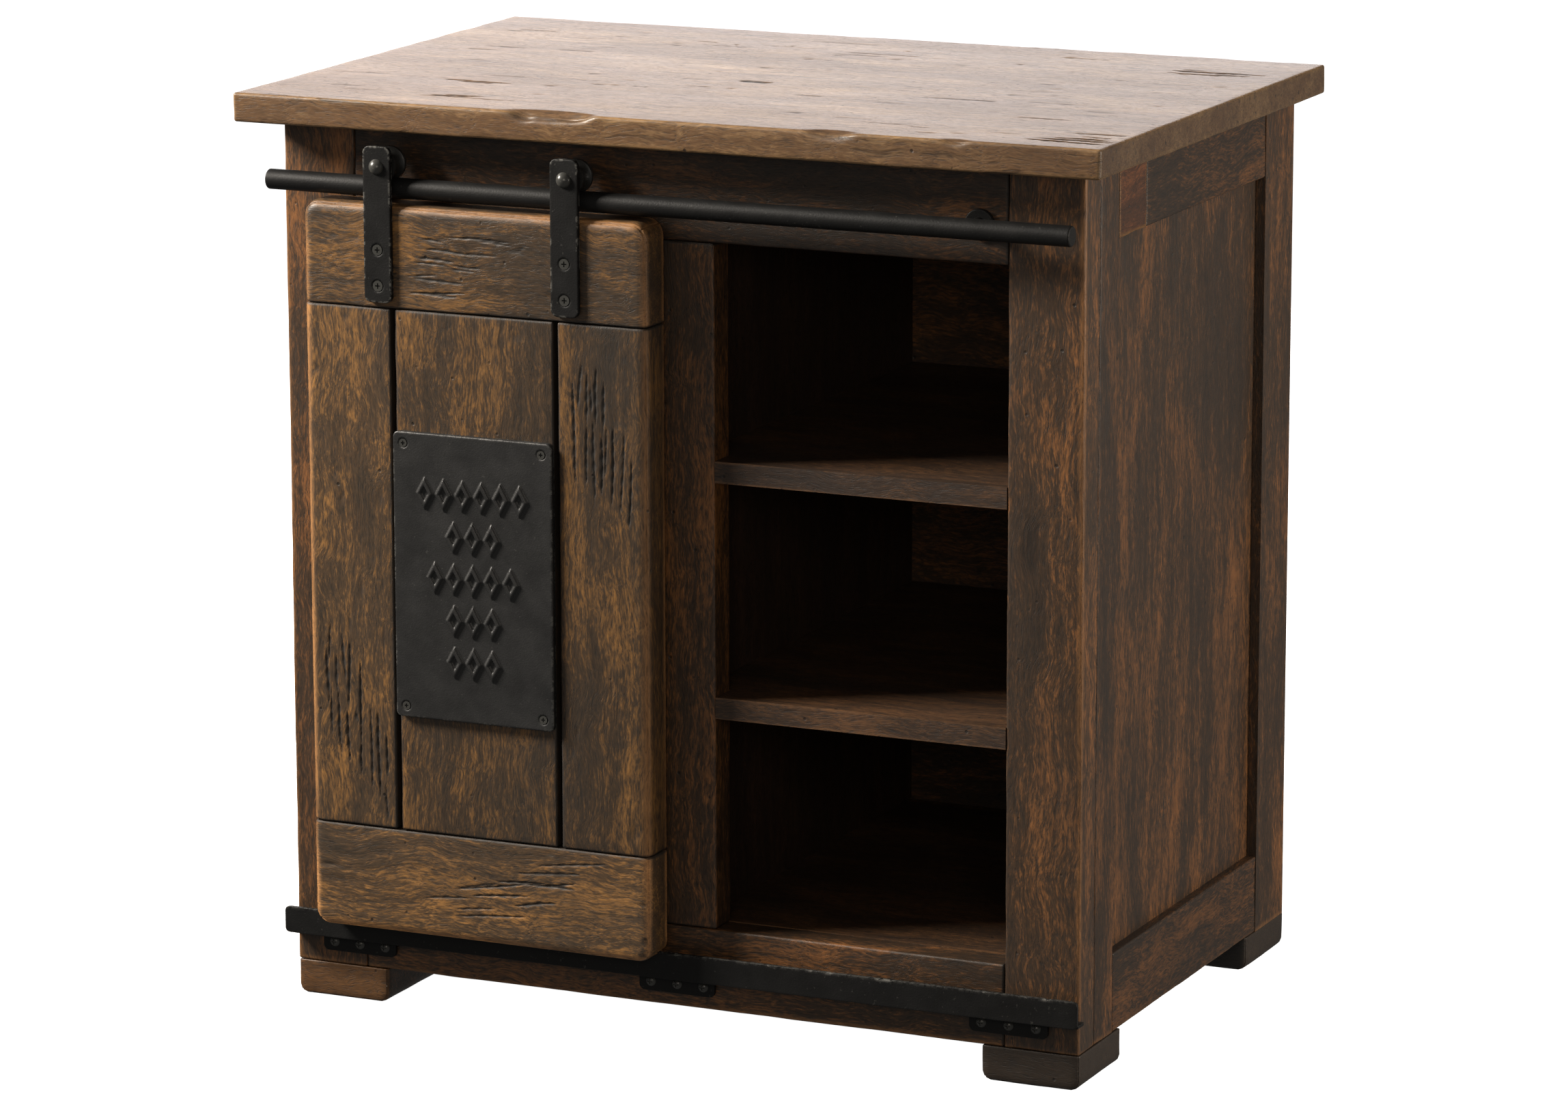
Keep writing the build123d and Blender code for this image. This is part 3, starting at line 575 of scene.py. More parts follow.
def carvedBoard(
    node, finish, grain, look, seed, low=None, high=None, outline=None, cracks=(), crackFace=None,
    chips=(), name=None, edgeBox=None, tone=1.0,
):
    # a board in the CAD node's box: softened, worn and carved inwards only
    boxLow, boxHigh = boxOf(node)
    low = boxLow if low is None else np.array(low, float)
    high = boxHigh if high is None else np.array(high, float)
    soft = min(look["soft"], 0.45 * float((high - low).min()))
    fine = look.get("fine", {})
    lines = [latticeLines(low[a], high[a], soft, look["step"][a], fine.get(a, ())) for a in range(3)]
    points, quads = latticeShell(lines)
    gaps = np.minimum(points - low, high - points)
    edgeGap = np.sort(gaps, 1)[:, 1]
    start = points.copy()
    points = softenBox(points, low, high, soft)
    if outline:
        points = softenOutline(points, *outline)
    piece = meshFrom(name or node, points, quads)
    normals = normalsOf(piece)

    stretch = np.full(3, look["waveCell"] * 0.6)
    stretch[grain] = look["waveCell"] * 2
    depth = look["wave"] * (0.5 + 0.5 * smoothNoise(start, stretch, seed))
    wear = np.clip(1 - edgeGap / look["wearReach"], 0, 1) ** 2
    rubbed = smoothNoise(start, (carving["rubbedCell"],) * 3, seed + 1)
    depth += look["wear"] * wear * np.clip(0.35 + 0.65 * rubbed, 0, 1)
    nicked = smoothNoise(start, (carving["nickedCell"],) * 3, seed + 2)
    depth += look["wear"] * carving["nicked"] * wear * np.clip(nicked, 0, 1)
    crack = np.zeros(len(points))

    rng = np.random.default_rng(seed + 3)
    dentAxis = 1 if crackFace is None else abs(crackFace) - 1
    dentPlane = low[1] if (crackFace or -2) < 0 else high[dentAxis]
    for _ in range(look["dents"]):  # knocks, some shallow and round, some short and dark
        spot = low + rng.random(3) * (high - low)
        spot[dentAxis] = dentPlane
        size = rng.uniform(*carving["dentSize"], 3)
        size[grain] *= rng.uniform(*carving["dentLong"])
        near = np.exp(-(((start - spot) / size) ** 2).sum(1))
        depth += rng.uniform(*carving["dentDeep"]) * near
        crack = np.maximum(crack, rng.uniform(*carving["dentDark"]) * np.clip(near * 1.6 - 0.5, 0, 1))

    if len(cracks):  # checks carved in one face; its number is +-(axis + 1)
        axis = abs(crackFace) - 1
        facing = normals[:, axis] * np.sign(crackFace) > 0.75
        across = [a for a in range(3) if a not in (axis, grain)][0]
        carved = crackDepth(start[:, grain], start[:, across], cracks, seed + 4) * facing
        depth += carved
        crack = np.maximum(crack, np.clip(carved / carving["checkDark"], 0, 1))

    for axis, end in look.get("seams", ()):  # dirt and wax that stay in a joint
        plane = low[axis] if end < 0 else high[axis]
        away = np.abs(start[:, axis] - plane) / carving["seamReach"]
        crack = np.maximum(crack, carving["seamDark"] * np.clip(carving["seamFull"] - away, 0, 1))

    points = points - normals * depth[:, None]
    # splinters knocked off an edge: the wood under a tilted plane stays
    for spot, size, tilt, dark in chips:
        offset = (start - np.array(spot)) / np.array(size)
        near = np.clip(1.15 - np.linalg.norm(offset, axis=1), 0, 1)
        cut = near * near * (3 - 2 * near)
        points += np.array(tilt)[None, :] * cut[:, None]
        facets = 0.6 + 0.4 * smoothNoise(start, carving["facetCell"], seed + 5)
        crack = np.maximum(crack, dark * facets * np.clip(near * 2.2, 0, 1))
    piece.data.vertices.foreach_set("co", (points * mm).astype(np.float32).ravel())
    # painted shade: a face that leans over is darkened by the way it faces, as the look's painted side
    # shade says
    upright = np.clip((carving["shadeFrom"] - normals[:, 2]) * carving["shadeSharp"], 0, 1)
    shade = upright * (normals @ np.array(look.get("paintedSideShade", (0, 0, 0))))
    paintPoints(piece.data, {"crack": crack, "shade": np.clip(shade, 0, 1)})
    piece.data.update()
    edgeLow, edgeHigh = edgeBox or (low, high)
    piece.data.materials.append(waxedWood(piece.name, finish, grain, seed + 11, edgeLow, edgeHigh, tone))
    return finishPiece(piece, node)


def finishPiece(piece, *standsFor):
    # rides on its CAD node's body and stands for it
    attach(piece, bodyOf[standsFor[0]])
    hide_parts(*standsFor)
    return piece


# where each board's own figure starts in the wood; a board beside it adds a step
seeds = {
    "top": 101, "postFace": 200, "postReturn": 214, "frontRail": 220, "divider": 241, "sideRail": 260,
    "sidePanel": 300, "patch": 350, "foot": 400, "doorBoard": 500, "tongues": 690, "kept": 700,
}

# the top: one slab, split at its ends and chipped along the front edge
topLow, topHigh = boxOf("top_slab")
slab = {
    "paintedSideShade": (0.75, -0.3, 0.0),  # painted shade: how much darker the right and front edges of the top are made
    "soft": 2.5, "step": (3.2, 3.0, 3.0), "wave": 0.3, "waveCell": 60, "wear": 0.9, "wearReach": 7.0,
    "dents": 30,
    "fine": {
        0: [(-150, -30, 1.2), (125, 185, 1.2)],
        1: [(topLow[1] + 4, topLow[1] + 64, 1.2), (-124, -112, 1.5), (160, 196, 1.5)],
    },
}
slabFront = topLow[1]
slabTopZ = topHigh[2]
edgeChips = [
    ((-96, slabFront, slabTopZ), (42, 15, 8), (0, 3.2, -3.8), 0.7),
    ((-118, slabFront, slabTopZ - 2), (12, 9, 7), (0, 1.8, -2.0), 0.7),
    ((-70, slabFront, slabTopZ), (18, 10, 6), (0, 1.4, -1.8), 0.6),
    ((155, slabFront, slabTopZ), (24, 11, 7), (0, 2.2, -2.6), 0.6),
    ((262, slabFront, slabTopZ), (13, 7, 5), (0, 1.4, -1.6), 0.35),
]
hairlineCount = 60
topRng = np.random.default_rng(77)
topCracks = []
# clusters of open splits, then lone hairlines all over
for centreX, centreY, spreadX, spreadY, count in (
    (318, 178, 42, 14, 9), (345, -205, 44, 26, 12), (-235, -118, 32, 5, 5), (-222, -198, 30, 5, 4),
    (-30, -26, 30, 6, 3),
):
    for _ in range(count):
        startX = centreX + topRng.uniform(-spreadX, spreadX * 0.3)
        startY = centreY + topRng.uniform(-spreadY, spreadY)
        reach = topRng.uniform(0.5, 1.3) * spreadX
        endX = min(startX + reach, topHigh[0] - 6)
        endY = startY + topRng.uniform(-2, 2)
        topCracks.append((startX, startY, endX, endY, topRng.uniform(2.0, 3.2), topRng.uniform(0.5, 0.9)))
for _ in range(hairlineCount):
    startX, startY = topRng.uniform(-380, 330), topRng.uniform(slabFront + 20, topHigh[1] - 20)
    endX = startX + topRng.uniform(10, 70)
    endY = startY + topRng.uniform(-2, 2)
    topCracks.append((startX, startY, endX, endY, topRng.uniform(1.6, 2.6), topRng.uniform(0.2, 0.5)))
carvedBoard(
    "top_slab", "burnishedTop", 0, slab, seeds["top"], cracks=topCracks, crackFace=3, chips=edgeChips,
)
print("top carved")

# the frame of the body: posts, rails, side panels and feet
bodyBoard = {
    "soft": 1.8, "step": (6, 6, 6), "wave": 0.35, "waveCell": 70, "wear": 0.9, "wearReach": 5.0,
    "dents": 6,
}
postBackY = postRight[1][1]
backFrontY = boxOf("post_back_right")[0][1]
railInX = postRight[0][0]
stileDepth = 33.0  # the front stile's thickness; the side frame's own stile is behind it
# how light each body part is against its finish; front_top_rail is darkened as painted shadow under the
# top's overhang and footRight as painted shade on the right side
bodyTonesAndShade = {
    "faceLeft": 1.15, "faceRight": 1.25, "return": 0.85, "front_top_rail": 0.62, "front_bottom_rail": 1.0,
    "divider": 1.2, "sideRail": 0.62, "sidePanel": 0.92, "footLeft": 0.75, "footRight": 0.55,
}
for index, side in enumerate(("left", "right")):
    low, high = boxOf(f"post_front_{side}")
    parting = low[1] + stileDepth
    carvedBoard(
        f"post_front_{side}", "darkBody", 2, bodyBoard, seeds["postFace"] + index * 7, low=low,
        high=(high[0], parting, high[2]), name=f"post_front_{side}_face", edgeBox=bodyBox,
        tone=bodyTonesAndShade["face" + side.title()],
    )
    carvedBoard(
        f"post_front_{side}", "darkBody", 2, bodyBoard, seeds["postReturn"] + index * 7,
        low=(low[0], parting, low[2]), high=high, name=f"post_front_{side}_return", edgeBox=bodyBox,
        tone=bodyTonesAndShade["return"], crackFace=(-1, 1)[index],
    )
for index, node in enumerate(("front_top_rail", "front_bottom_rail")):
    low, high = boxOf(node)
    low[0], high[0] = -railInX, railInX
    railLook = dict(bodyBoard, seams=[(0, -1), (0, 1)])
    carvedBoard(
        node, "darkBody", 0, railLook, seeds["frontRail"] + index * 7, low=low, high=high,
        edgeBox=bodyBox, tone=bodyTonesAndShade[node],
    )
low, high = boxOf("divider_post")
low[2], high[2] = boxOf("front_bottom_rail")[1][2], boxOf("front_top_rail")[0][2]
dividerLook = dict(bodyBoard, seams=[(2, -1), (2, 1)])
carvedBoard(
    "divider_post", "darkBody", 2, dividerLook, seeds["divider"], low=low, high=high, edgeBox=bodyBox,
    tone=bodyTonesAndShade["divider"],
)

patchLow, patchHigh = boxOf("side_patch_right")
panelCheckCount = 15
panelRng = np.random.default_rng(58)
panelChecks = []
# a cluster of short checks low on the right panel, rising towards the back
for index in range(panelCheckCount):
    checkY = -20 + index * 4.6 + panelRng.uniform(-2, 2)
    checkZ = 168 + index * 4.2 + panelRng.uniform(-12, 12)
    endZ = checkZ + panelRng.uniform(14, 52)
    endY = checkY + panelRng.uniform(1, 5)
    panelChecks.append(
        (checkZ, checkY, endZ, endY, panelRng.uniform(0.9, 1.5), panelRng.uniform(0.5, 0.9)),
    )
for index, (side, way) in enumerate((("left", -1), ("right", 1))):
    for level, node in enumerate((f"side_top_rail_{side}", f"side_bottom_rail_{side}")):
        low, high = boxOf(node)
        low[1], high[1] = postBackY, backFrontY
        if node == "side_top_rail_right":
            low[1] = patchHigh[1]
        carvedBoard(
            node, "darkBody", 1, bodyBoard, seeds["sideRail"] + index * 20 + level * 7, low=low,
            high=high, crackFace=way, edgeBox=bodyBox, tone=bodyTonesAndShade["sideRail"],
        )
    panel = dict(bodyBoard, soft=1.0, wave=0.6, waveCell=90, wear=0.0, dents=14)
    panel["fine"] = {1: [(-26, 58, 0.8)], 2: [(150, 290, 3.0)]} if side == "right" else {}
    carvedBoard(
        f"side_panel_{side}", "darkBody", 2, panel, seeds["sidePanel"] + index * 9, crackFace=way,
        edgeBox=bodyBox, cracks=panelChecks if side == "right" else (), tone=bodyTonesAndShade["sidePanel"],
    )
patch = dict(bodyBoard, soft=0.8, dents=2, step=(4, 4, 4))
patchThick = 17  # mm, how far the patch is let into the rail behind its CAD face
low = np.array([patchLow[0] - patchThick, patchLow[1], patchLow[2]])
carvedBoard(
    "side_patch_right", "redPatch", 1, patch, seeds["patch"], low=low, high=patchHigh, crackFace=1,
)

foot = {
    "soft": 1.2, "step": (5, 5, 5), "wave": 0.3, "waveCell": 40, "wear": 0.7, "wearReach": 7.0,
    "dents": 5, "cornerRound": 8.0, "frontRound": 3.0,
}
for index, corner in enumerate(("front_left", "front_right", "back_left", "back_right")):
    # the right feet are darker in finish and tone, painted shade on the right side
    finish, tone = ("darkBody", "footLeft") if "left" in corner else ("rightFootInShade", "footRight")
    low, high = boxOf(f"foot_{corner}")
    # the outline goes on 60 mm above the foot, so that only the bottom corners are rounded
    bottomOnly = (low, high + np.array([0, 0, 60]), foot["cornerRound"], foot["frontRound"])
    carvedBoard(
        f"foot_{corner}", finish, 0, foot, seeds["foot"] + index * 5, outline=bottomOnly, edgeBox=bodyBox,
        tone=bodyTonesAndShade[tone],
    )
print("body and feet carved")

# the door: three planks between two thick boards, all softened together
doorBoard = {
    "soft": 1.9, "step": (3.0, 5.0, 3.0), "wave": 0.5, "waveCell": 60, "wear": 0.8, "wearReach": 6.0,
    "dents": 9,
}
doorOutline = (doorLow, doorHigh, 14.0, 8.0)
topChecks = [
    (-208, 669.3, -192, 667.2), (-188, 672.6, -128, 671.6), (-161, 671.2, -128, 669.2),
    (-208, 661.4, -164, 658.9), (-186, 659.2, -141, 659.5), (-216, 653.4, -182, 652.0),
    (-216, 649.3, -189, 648.7), (-182, 649.1, -155, 647.3), (-184, 646.7, -164, 644.8),
    (-224, 637.7, -197, 639.7), (-218, 636.3, -172, 633.9), (-222, 623.7, -172, 626.4),
    (-206, 623.0, -179, 623.1), (-121, 664.6, -115, 671.6), (-238, 644.0, -232, 632.0),
]
rightChecks = [
    (-74, 560.5, -71.7, 477.9), (-65.6, 574.2, -69, 540.2), (-60.6, 567.1, -61.6, 525.8),
    (-57.6, 556.1, -56.8, 537.4), (-52.4, 571.5, -53.8, 526.4), (-45.3, 561.8, -46.7, 521.3),
    (-61.6, 523.9, -62, 474.9), (-55.8, 528.1, -54.3, 466.1), (-47.7, 515.6, -48.1, 468.5),
    (-43.6, 525.3, -44.9, 483.9), (-37.4, 525.8, -39, 461.8), (-27.2, 522.9, -30.8, 454.9),
    (-20.3, 501, -23.8, 440.4),
]
leftChecks = [
    (-301.5, 336, -303.2, 305.7), (-305.1, 315.2, -303.8, 270.5), (-301.5, 280.5, -301.1, 243.5),
    (-296.7, 310.2, -295.1, 281.1), (-291, 328.2, -287.4, 291.6), (-295.1, 279.2, -292.8, 228.7),
    (-283.6, 323.1, -284.6, 268.5), (-286.8, 262.5, -284.8, 221.6), (-273.8, 306.5, -273.3, 238.4),
    (-279.3, 263.2, -274.8, 253.9), (-274.4, 238.3, -273.4, 211.1), (-264.3, 266.6, -263.3, 198.4),
    (-257.9, 265.3, -257.5, 224.4), (-257.3, 240.1, -255.9, 193.3), (-249.7, 246.7, -249.2, 209.7),
    (-251.5, 201.6, -248.7, 174.5),
]
bottomChecks = [
    (-110.4, 148.5, -43.6, 156.8), (-131.5, 140.3, -69.7, 145.2), (-147.4, 130.8, -105.3, 133.5),
    (-183.5, 121.9, -147.4, 128.8), (-189.9, 119.2, -120, 131.9), (-214.5, 109.6, -175.1, 114),
    (-170.9, 116.4, -120.2, 121.1), (-103.2, 131.8, -75, 136.9), (-130.8, 112.1, -92.9, 118.3),
    (-185.9, 103, -149.8, 107.1), (-183.9, 97.4, -120.4, 103.6), (-120, 131.9, -76, 131.9),
]


def checksAlong(places, grain, seed, halfWidth, deep):
    # door checks given as (x, z) ends become (along, across) ends with a width and a depth
    rng = np.random.default_rng(seed)
    found = []
    for x0, z0, x1, z1 in places:
        ends = (x0, z0, x1, z1) if grain == 0 else (z0, x0, z1, x1)
        if ends[0] > ends[2]:
            ends = (ends[2], ends[3], ends[0], ends[1])
        found.append((*ends, halfWidth * rng.uniform(0.75, 1.3), deep * rng.uniform(0.7, 1.2)))
    return found


doorBoards = {
    "door_top_board": (
        0, checksAlong(topChecks, 0, 1, 1.8, 1.0), {0: [(-242, -112, 2.2)], 2: [(618, 676, 0.75)]},
    ),
    "door_bottom_board": (
        0, checksAlong(bottomChecks, 0, 2, 1.9, 1.0), {0: [(-218, -40, 2.2)], 2: [(94, 160, 0.75)]},
    ),
    "door_plank_left": (
        2, checksAlong(leftChecks, 2, 3, 2.2, 1.3), {0: [(-309, -245, 0.75)], 2: [(170, 340, 2.4)]},
    ),
    "door_plank_right": (
        2, checksAlong(rightChecks, 2, 4, 1.9, 1.2), {0: [(-78, -18, 0.75)], 2: [(436, 578, 2.4)]},
    ),
    "door_plank_middle": (2, [], {}),
}
# how light each door board is against its finish: partly the board's own wood, partly painted light, the
# left plank lighter and the right plank darker as the light falls across the door
doorTonesAndLight = {
    "door_top_board": 0.82, "door_bottom_board": 1.32, "door_plank_left": 1.06, "door_plank_right": 0.72,
    "door_plank_middle": 0.82,
}
jointTop, jointBottom = boxOf("door_top_board")[0][2], boxOf("door_bottom_board")[1][2]
gapLeft = boxOf("door_plank_left")[1][0]
gapRight = boxOf("door_plank_right")[0][0]
plankGap = 3.6  # mm, the dark gap at each side of the middle plank
for index, (node, (grain, checks, fine)) in enumerate(doorBoards.items()):
    low, high = boxOf(node)
    if "plank" in node:
        low[2], high[2] = jointBottom, jointTop
    if node == "door_plank_middle":
        low[0], high[0] = gapLeft + plankGap, gapRight - plankGap
    seams = {
        "door_top_board": [(2, -1)], "door_bottom_board": [(2, 1)],
        "door_plank_left": [(0, 1), (2, -1), (2, 1)],
        "door_plank_middle": [(0, -1), (0, 1), (2, -1), (2, 1)],
        "door_plank_right": [(0, -1), (2, -1), (2, 1)],
    }[node]
    carvedBoard(
        node, "burnishedDoor", grain, dict(doorBoard, fine=fine, seams=seams),
        seeds["doorBoard"] + index * 31, low=low, high=high, outline=doorOutline, cracks=checks,
        crackFace=-2, edgeBox=(doorLow, doorHigh), tone=doorTonesAndLight[node],
    )
tongueLow, tongueHigh = boxOf("door_plank_middle")  # the tongues seen at the bottom of the gaps
tongueMiddle = (doorLow[1] + doorHigh[1]) / 2
# the tongues take the nearly black inner finish, painted shade in the gaps between the planks
carvedBoard(
    "door_plank_middle", "innerBoardsPaintedShade", 2, dict(doorBoard, soft=0.5, dents=0, step=(20, 6, 20)),
    seeds["tongues"], low=(tongueLow[0] + 2, tongueMiddle - 6, jointBottom),
    high=(tongueHigh[0] - 2, tongueMiddle + 6, jointTop), name="door_plank_tongues",
)
print("door boards carved")


paintIor = 1.5
ironMm = {"cloud": 26, "specks": 3.1}  # sizes of the slow changes of tone and of the specks
ironDust, ironRubbed = "#4c4b48", "#63625e"  # pale specks, and iron where the paint is rubbed off


def blackIron(name, look):
    # black-coated iron: fine orange peel, a satin sheen, rubbed grey on the edges
    material = bpy.data.materials.new(name)
    material.use_nodes = True
    tree = material.node_tree
    tree.nodes.clear()
    spot = add(tree, "ShaderNodeTexCoord")
    place = add(
        tree, "ShaderNodeVectorMath", {"operation": "SCALE", "Scale": 1 / mm},
        {0: spot.outputs["Object"]},
    )
    grit = add(
        tree, "ShaderNodeTexNoise", {"Scale": 1 / look["gritMm"], "Detail": 3.0, "Roughness": 0.6},
        {"Vector": place.outputs[0]},
    )
    cloud = add(
        tree, "ShaderNodeTexNoise", {"Scale": 1 / ironMm["cloud"], "Detail": 4.0, "Roughness": 0.6},
        {"Vector": place.outputs[0]},
    )
    specks = add(
        tree, "ShaderNodeTexNoise", {"Scale": 1 / ironMm["specks"], "Detail": 2.0},
        {"Vector": place.outputs[0]},
    )
    tint = add(
        tree, "ShaderNodeMix", {"data_type": "RGBA", 6: linear(look["dark"]), 7: linear(look["light"])},
        {"Factor": cloud.outputs["Fac"]},
    )
    speckMask = add(
        tree, "ShaderNodeMapRange", {"From Min": 0.68, "From Max": 0.76, "To Max": look["specks"]},
        {"Value": specks.outputs["Fac"]},
    )
    dusted = add(
        tree, "ShaderNodeMix", {"data_type": "RGBA", 7: linear(ironDust)},
        {"Factor": speckMask.outputs[0], 6: tint.outputs[2]},
    )
    colour = dusted.outputs[2]
    rubbed = add(tree, "ShaderNodeAttribute", {"attribute_name": "worn"})
    broken = add(
        tree, "ShaderNodeMapRange", {"From Min": 0.44, "From Max": 0.54, "To Max": look["rubbed"]},
        {"Value": specks.outputs["Fac"]},
    )
    share = add(
        tree, "ShaderNodeMath", {"operation": "MULTIPLY"},
        {0: rubbed.outputs["Fac"], 1: broken.outputs[0]},
    )
    colour = add(
        tree, "ShaderNodeMix", {"data_type": "RGBA", 7: linear(ironRubbed)},
        {"Factor": share.outputs[0], 6: colour},
    ).outputs[2]
    gloss = add(
        tree, "ShaderNodeMapRange",
        {
            "From Min": 0.3, "From Max": 0.7, "To Min": look["gloss"] - 0.06,
            "To Max": look["gloss"] + 0.08,
        },
        {"Value": cloud.outputs["Fac"]},
    )
    bump = add(
        tree, "ShaderNodeBump", {"Strength": look["relief"], "Distance": 0.0003},
        {"Height": grit.outputs["Fac"]},
    )
    shader = add(
        tree, "ShaderNodeBsdfPrincipled",
        {"IOR": paintIor, "Specular IOR Level": look.get("specular", 0.5)},
        {"Base Color": colour, "Roughness": gloss.outputs[0], "Normal": bump.outputs[0]},
    )
    add(tree, "ShaderNodeOutputMaterial", None, {"Surface": shader.outputs[0]})
    return material


powderCoat = blackIron(
    "powderCoatedIron",
    {
        "dark": "#0f0f0f", "light": "#171717", "gritMm": 1.6, "gloss": 0.5, "relief": 0.5, "specks": 0.35,
        "rubbed": 0.8, "specular": 0.2,
    },
)
castPaint = blackIron(
    "paintedCastIron",
    {
        "dark": "#161616", "light": "#1e1e1e", "gritMm": 1.3, "gloss": 0.46, "relief": 0.55,
        "specks": 0.3, "rubbed": 0.5,
    },
)
blackSteel = blackIron(
    "blackenedSteel",
    {
        "dark": "#30302e", "light": "#3f3f3c", "gritMm": 2.5, "gloss": 0.3, "relief": 0.2, "specks": 0.2,
        "rubbed": 0.9,
    },
)
rollerIron = blackIron(
    "rubbedRollerIron",
    {
        "dark": "#1d1d1d", "light": "#2a2a29", "gritMm": 2.0, "gloss": 0.32, "relief": 0.3, "specks": 0.3,
        "rubbed": 0.9,
    },
)


def lozengeHeight(x, z, centreX, centreZ, width, height, stroke, rise):
    # a raised lozenge outline with a rounded stroke
    a, b = width / 2 - stroke / 2, height / 2 - stroke / 2
    slope = math.hypot(1 / a, 1 / b)
    away = np.abs(np.abs(x - centreX) / a + np.abs(z - centreZ) / b - 1) / slope
    return rise * np.sqrt(np.clip(1 - (away / (stroke / 2)) ** 2, 0, 1)) ** 0.8


def screwSeat(x, z, places, radius, deep):
    # a round recess about each screw, so that its rim reads as a ring
    depth = np.zeros(len(x))
    for px, pz in places:
        depth = np.maximum(depth, deep * np.clip((radius - np.hypot(x - px, z - pz)) / 0.5, 0, 1))
    return depth


def ironPiece(node, look, seats, material, rows=()):
    # a flat iron plate in the CAD node's box, its front facing -Y, with screw seats and raised rows
    low, high = boxOf(node)
    faceY = high[1] - look["thick"]
    low[1] = faceY
    lines = [latticeLines(low[a], high[a], look["frontRound"], look["step"][a]) for a in range(3)]
    points, quads = latticeShell(lines)
    start = points.copy()
    points = softenOutline(points, low, high, look["cornerRound"], look["frontRound"])
    front = np.abs(start[:, 1] - faceY) < 0.01
    wave = look["wave"] * (0.5 + 0.5 * smoothNoise(start, (30, 30, 30), look["seed"]))
    points[:, 1] += front * (
        wave + screwSeat(start[:, 0], start[:, 2], seats, look["seat"], look["seatDepth"])
    )
    rise = np.zeros(len(points))
    for row in rows:
        rise = np.maximum(rise, lozengeHeight(start[:, 0], start[:, 2], *row))
    points[:, 1] -= front * rise
    gaps = np.sort(np.minimum(start - low, high - start), 1)[:, 1]
    worn = np.clip(1.3 - gaps / 1.2, 0, 1) * (smoothNoise(start, (9, 9, 9), look["seed"] + 1) > 0.05)
    piece = meshFrom(node, points, quads, {"worn": worn})
    piece.data.materials.append(material)
    return finishPiece(piece, node)


def centresOf(node, count):
    # centres of the separate screws in a CAD group, in mm: the parts of its mesh that don't touch
    mesh = nodes[node].data
    parent = list(range(len(mesh.vertices)))

    def root(i):
        while parent[i] != i:
            parent[i] = parent[parent[i]]
            i = parent[i]
        return i

    seen = {}
    for i, vertex in enumerate(mesh.vertices):
        key = tuple(round(c, 6) for c in vertex.co)
        if key in seen:
            parent[root(i)] = root(seen[key])
        seen[key] = i
    for edge in mesh.edges:
        parent[root(edge.vertices[0])] = root(edge.vertices[1])
    groups = {}
    for i, vertex in enumerate(mesh.vertices):
        groups.setdefault(root(i), []).append(np.array(vertex.co) / mm)
    centres = [(np.min(g, 0) + np.max(g, 0)) / 2 for g in groups.values()]
    print(node, len(centres), "parts, expected", count)
    return centres


strapCentres = centresOf("strap_screws", 4)
plateCentres = centresOf("plate_screws", 4)
strapLook = {
    "cornerRound": 6.0, "frontRound": 0.9, "step": (0.9, 1.5, 0.9), "wave": 0.12, "seat": 5.3,
    "seatDepth": 0.9,
}
strapSeeds = {"left": 31, "right": 37}
for side in ("left", "right"):
    low, high = boxOf(f"strap_{side}")
    seats = [(c[0], c[2]) for c in strapCentres if low[0] < c[0] < high[0]]
    look = dict(strapLook, thick=high[1] - low[1], seed=strapSeeds[side])
    ironPiece(f"strap_{side}", look, seats, powderCoat)

barLook = {"thick": 3.0, "round": 0.6, "corner": 4.0, "step": (3.0, 1.0, 1.0), "chipMm": 8.0, "seed": 61}
barLow, barHigh = boxOf("guide_bar")
uprightHigh = np.array([barHigh[0], barLow[1] + barLook["thick"], barHigh[2]])
flatLow = np.array([barLow[0], uprightHigh[1] - 0.5, barLow[2]])
flatHigh = np.array([barHigh[0], barHigh[1], barLow[2] + barLook["thick"]])
barPoints, barQuads, barWorn = [], [], []
# the two legs of the angle
for low, high, upright in ((barLow, uprightHigh, True), (flatLow, flatHigh, False)):
    lines = [latticeLines(low[a], high[a], barLook["round"], barLook["step"][a]) for a in range(3)]
    points, quads = latticeShell(lines)
    top = np.clip(1.5 - (high[2] - points[:, 2]) / 1.6, 0, 1) * upright
    chipped = top * (smoothNoise(points, (barLook["chipMm"],) * 3, barLook["seed"]) > 0.6)
    if upright:
        soft = softenOutline(points, low, high, barLook["corner"], barLook["round"])
    else:
        soft = softenBox(points, low, high, barLook["round"])
    soft[:, 2] -= 0.35 * chipped
    barQuads.append(quads + sum(len(p) for p in barPoints))
    barPoints.append(soft)
    barWorn.append(np.maximum(chipped, 0.25 * top))
guideBar = meshFrom(
    "guide_bar_chipped", np.concatenate(barPoints), np.concatenate(barQuads),
    {"worn": np.concatenate(barWorn)},
)
guideBar.data.materials.append(powderCoat)
finishPiece(guideBar, "guide_bar")

plateLow, plateHigh = boxOf("plate")
plateLook = {
    "thick": 5.5, "cornerRound": 5.0, "frontRound": 1.3, "step": (0.75, 1.5, 0.75), "wave": 0.25,
    "seat": 4.4, "seatDepth": 1.0, "seed": 43,
}
relief = {
    "counts": (6, 3, 5, 3, 3), "pitch": 35.3, "step": 17.5, "width": 15.0, "height": 23.6, "stroke": 4.2,
    "rise": 2.2,
}
plateMiddle = (plateLow + plateHigh) / 2
reliefRows = []
for row, count in enumerate(relief["counts"]):
    rowZ = plateMiddle[2] + ((len(relief["counts"]) - 1) / 2 - row) * relief["pitch"]
    for index in range(count):
        rowX = plateMiddle[0] + (index - (count - 1) / 2) * relief["step"]
        reliefRows.append(
            (rowX, rowZ, relief["width"], relief["height"], relief["stroke"], relief["rise"]),
        )
ironPiece("plate", plateLook, [(c[0], c[2]) for c in plateCentres], castPaint, reliefRows)
print("straps and plate made")

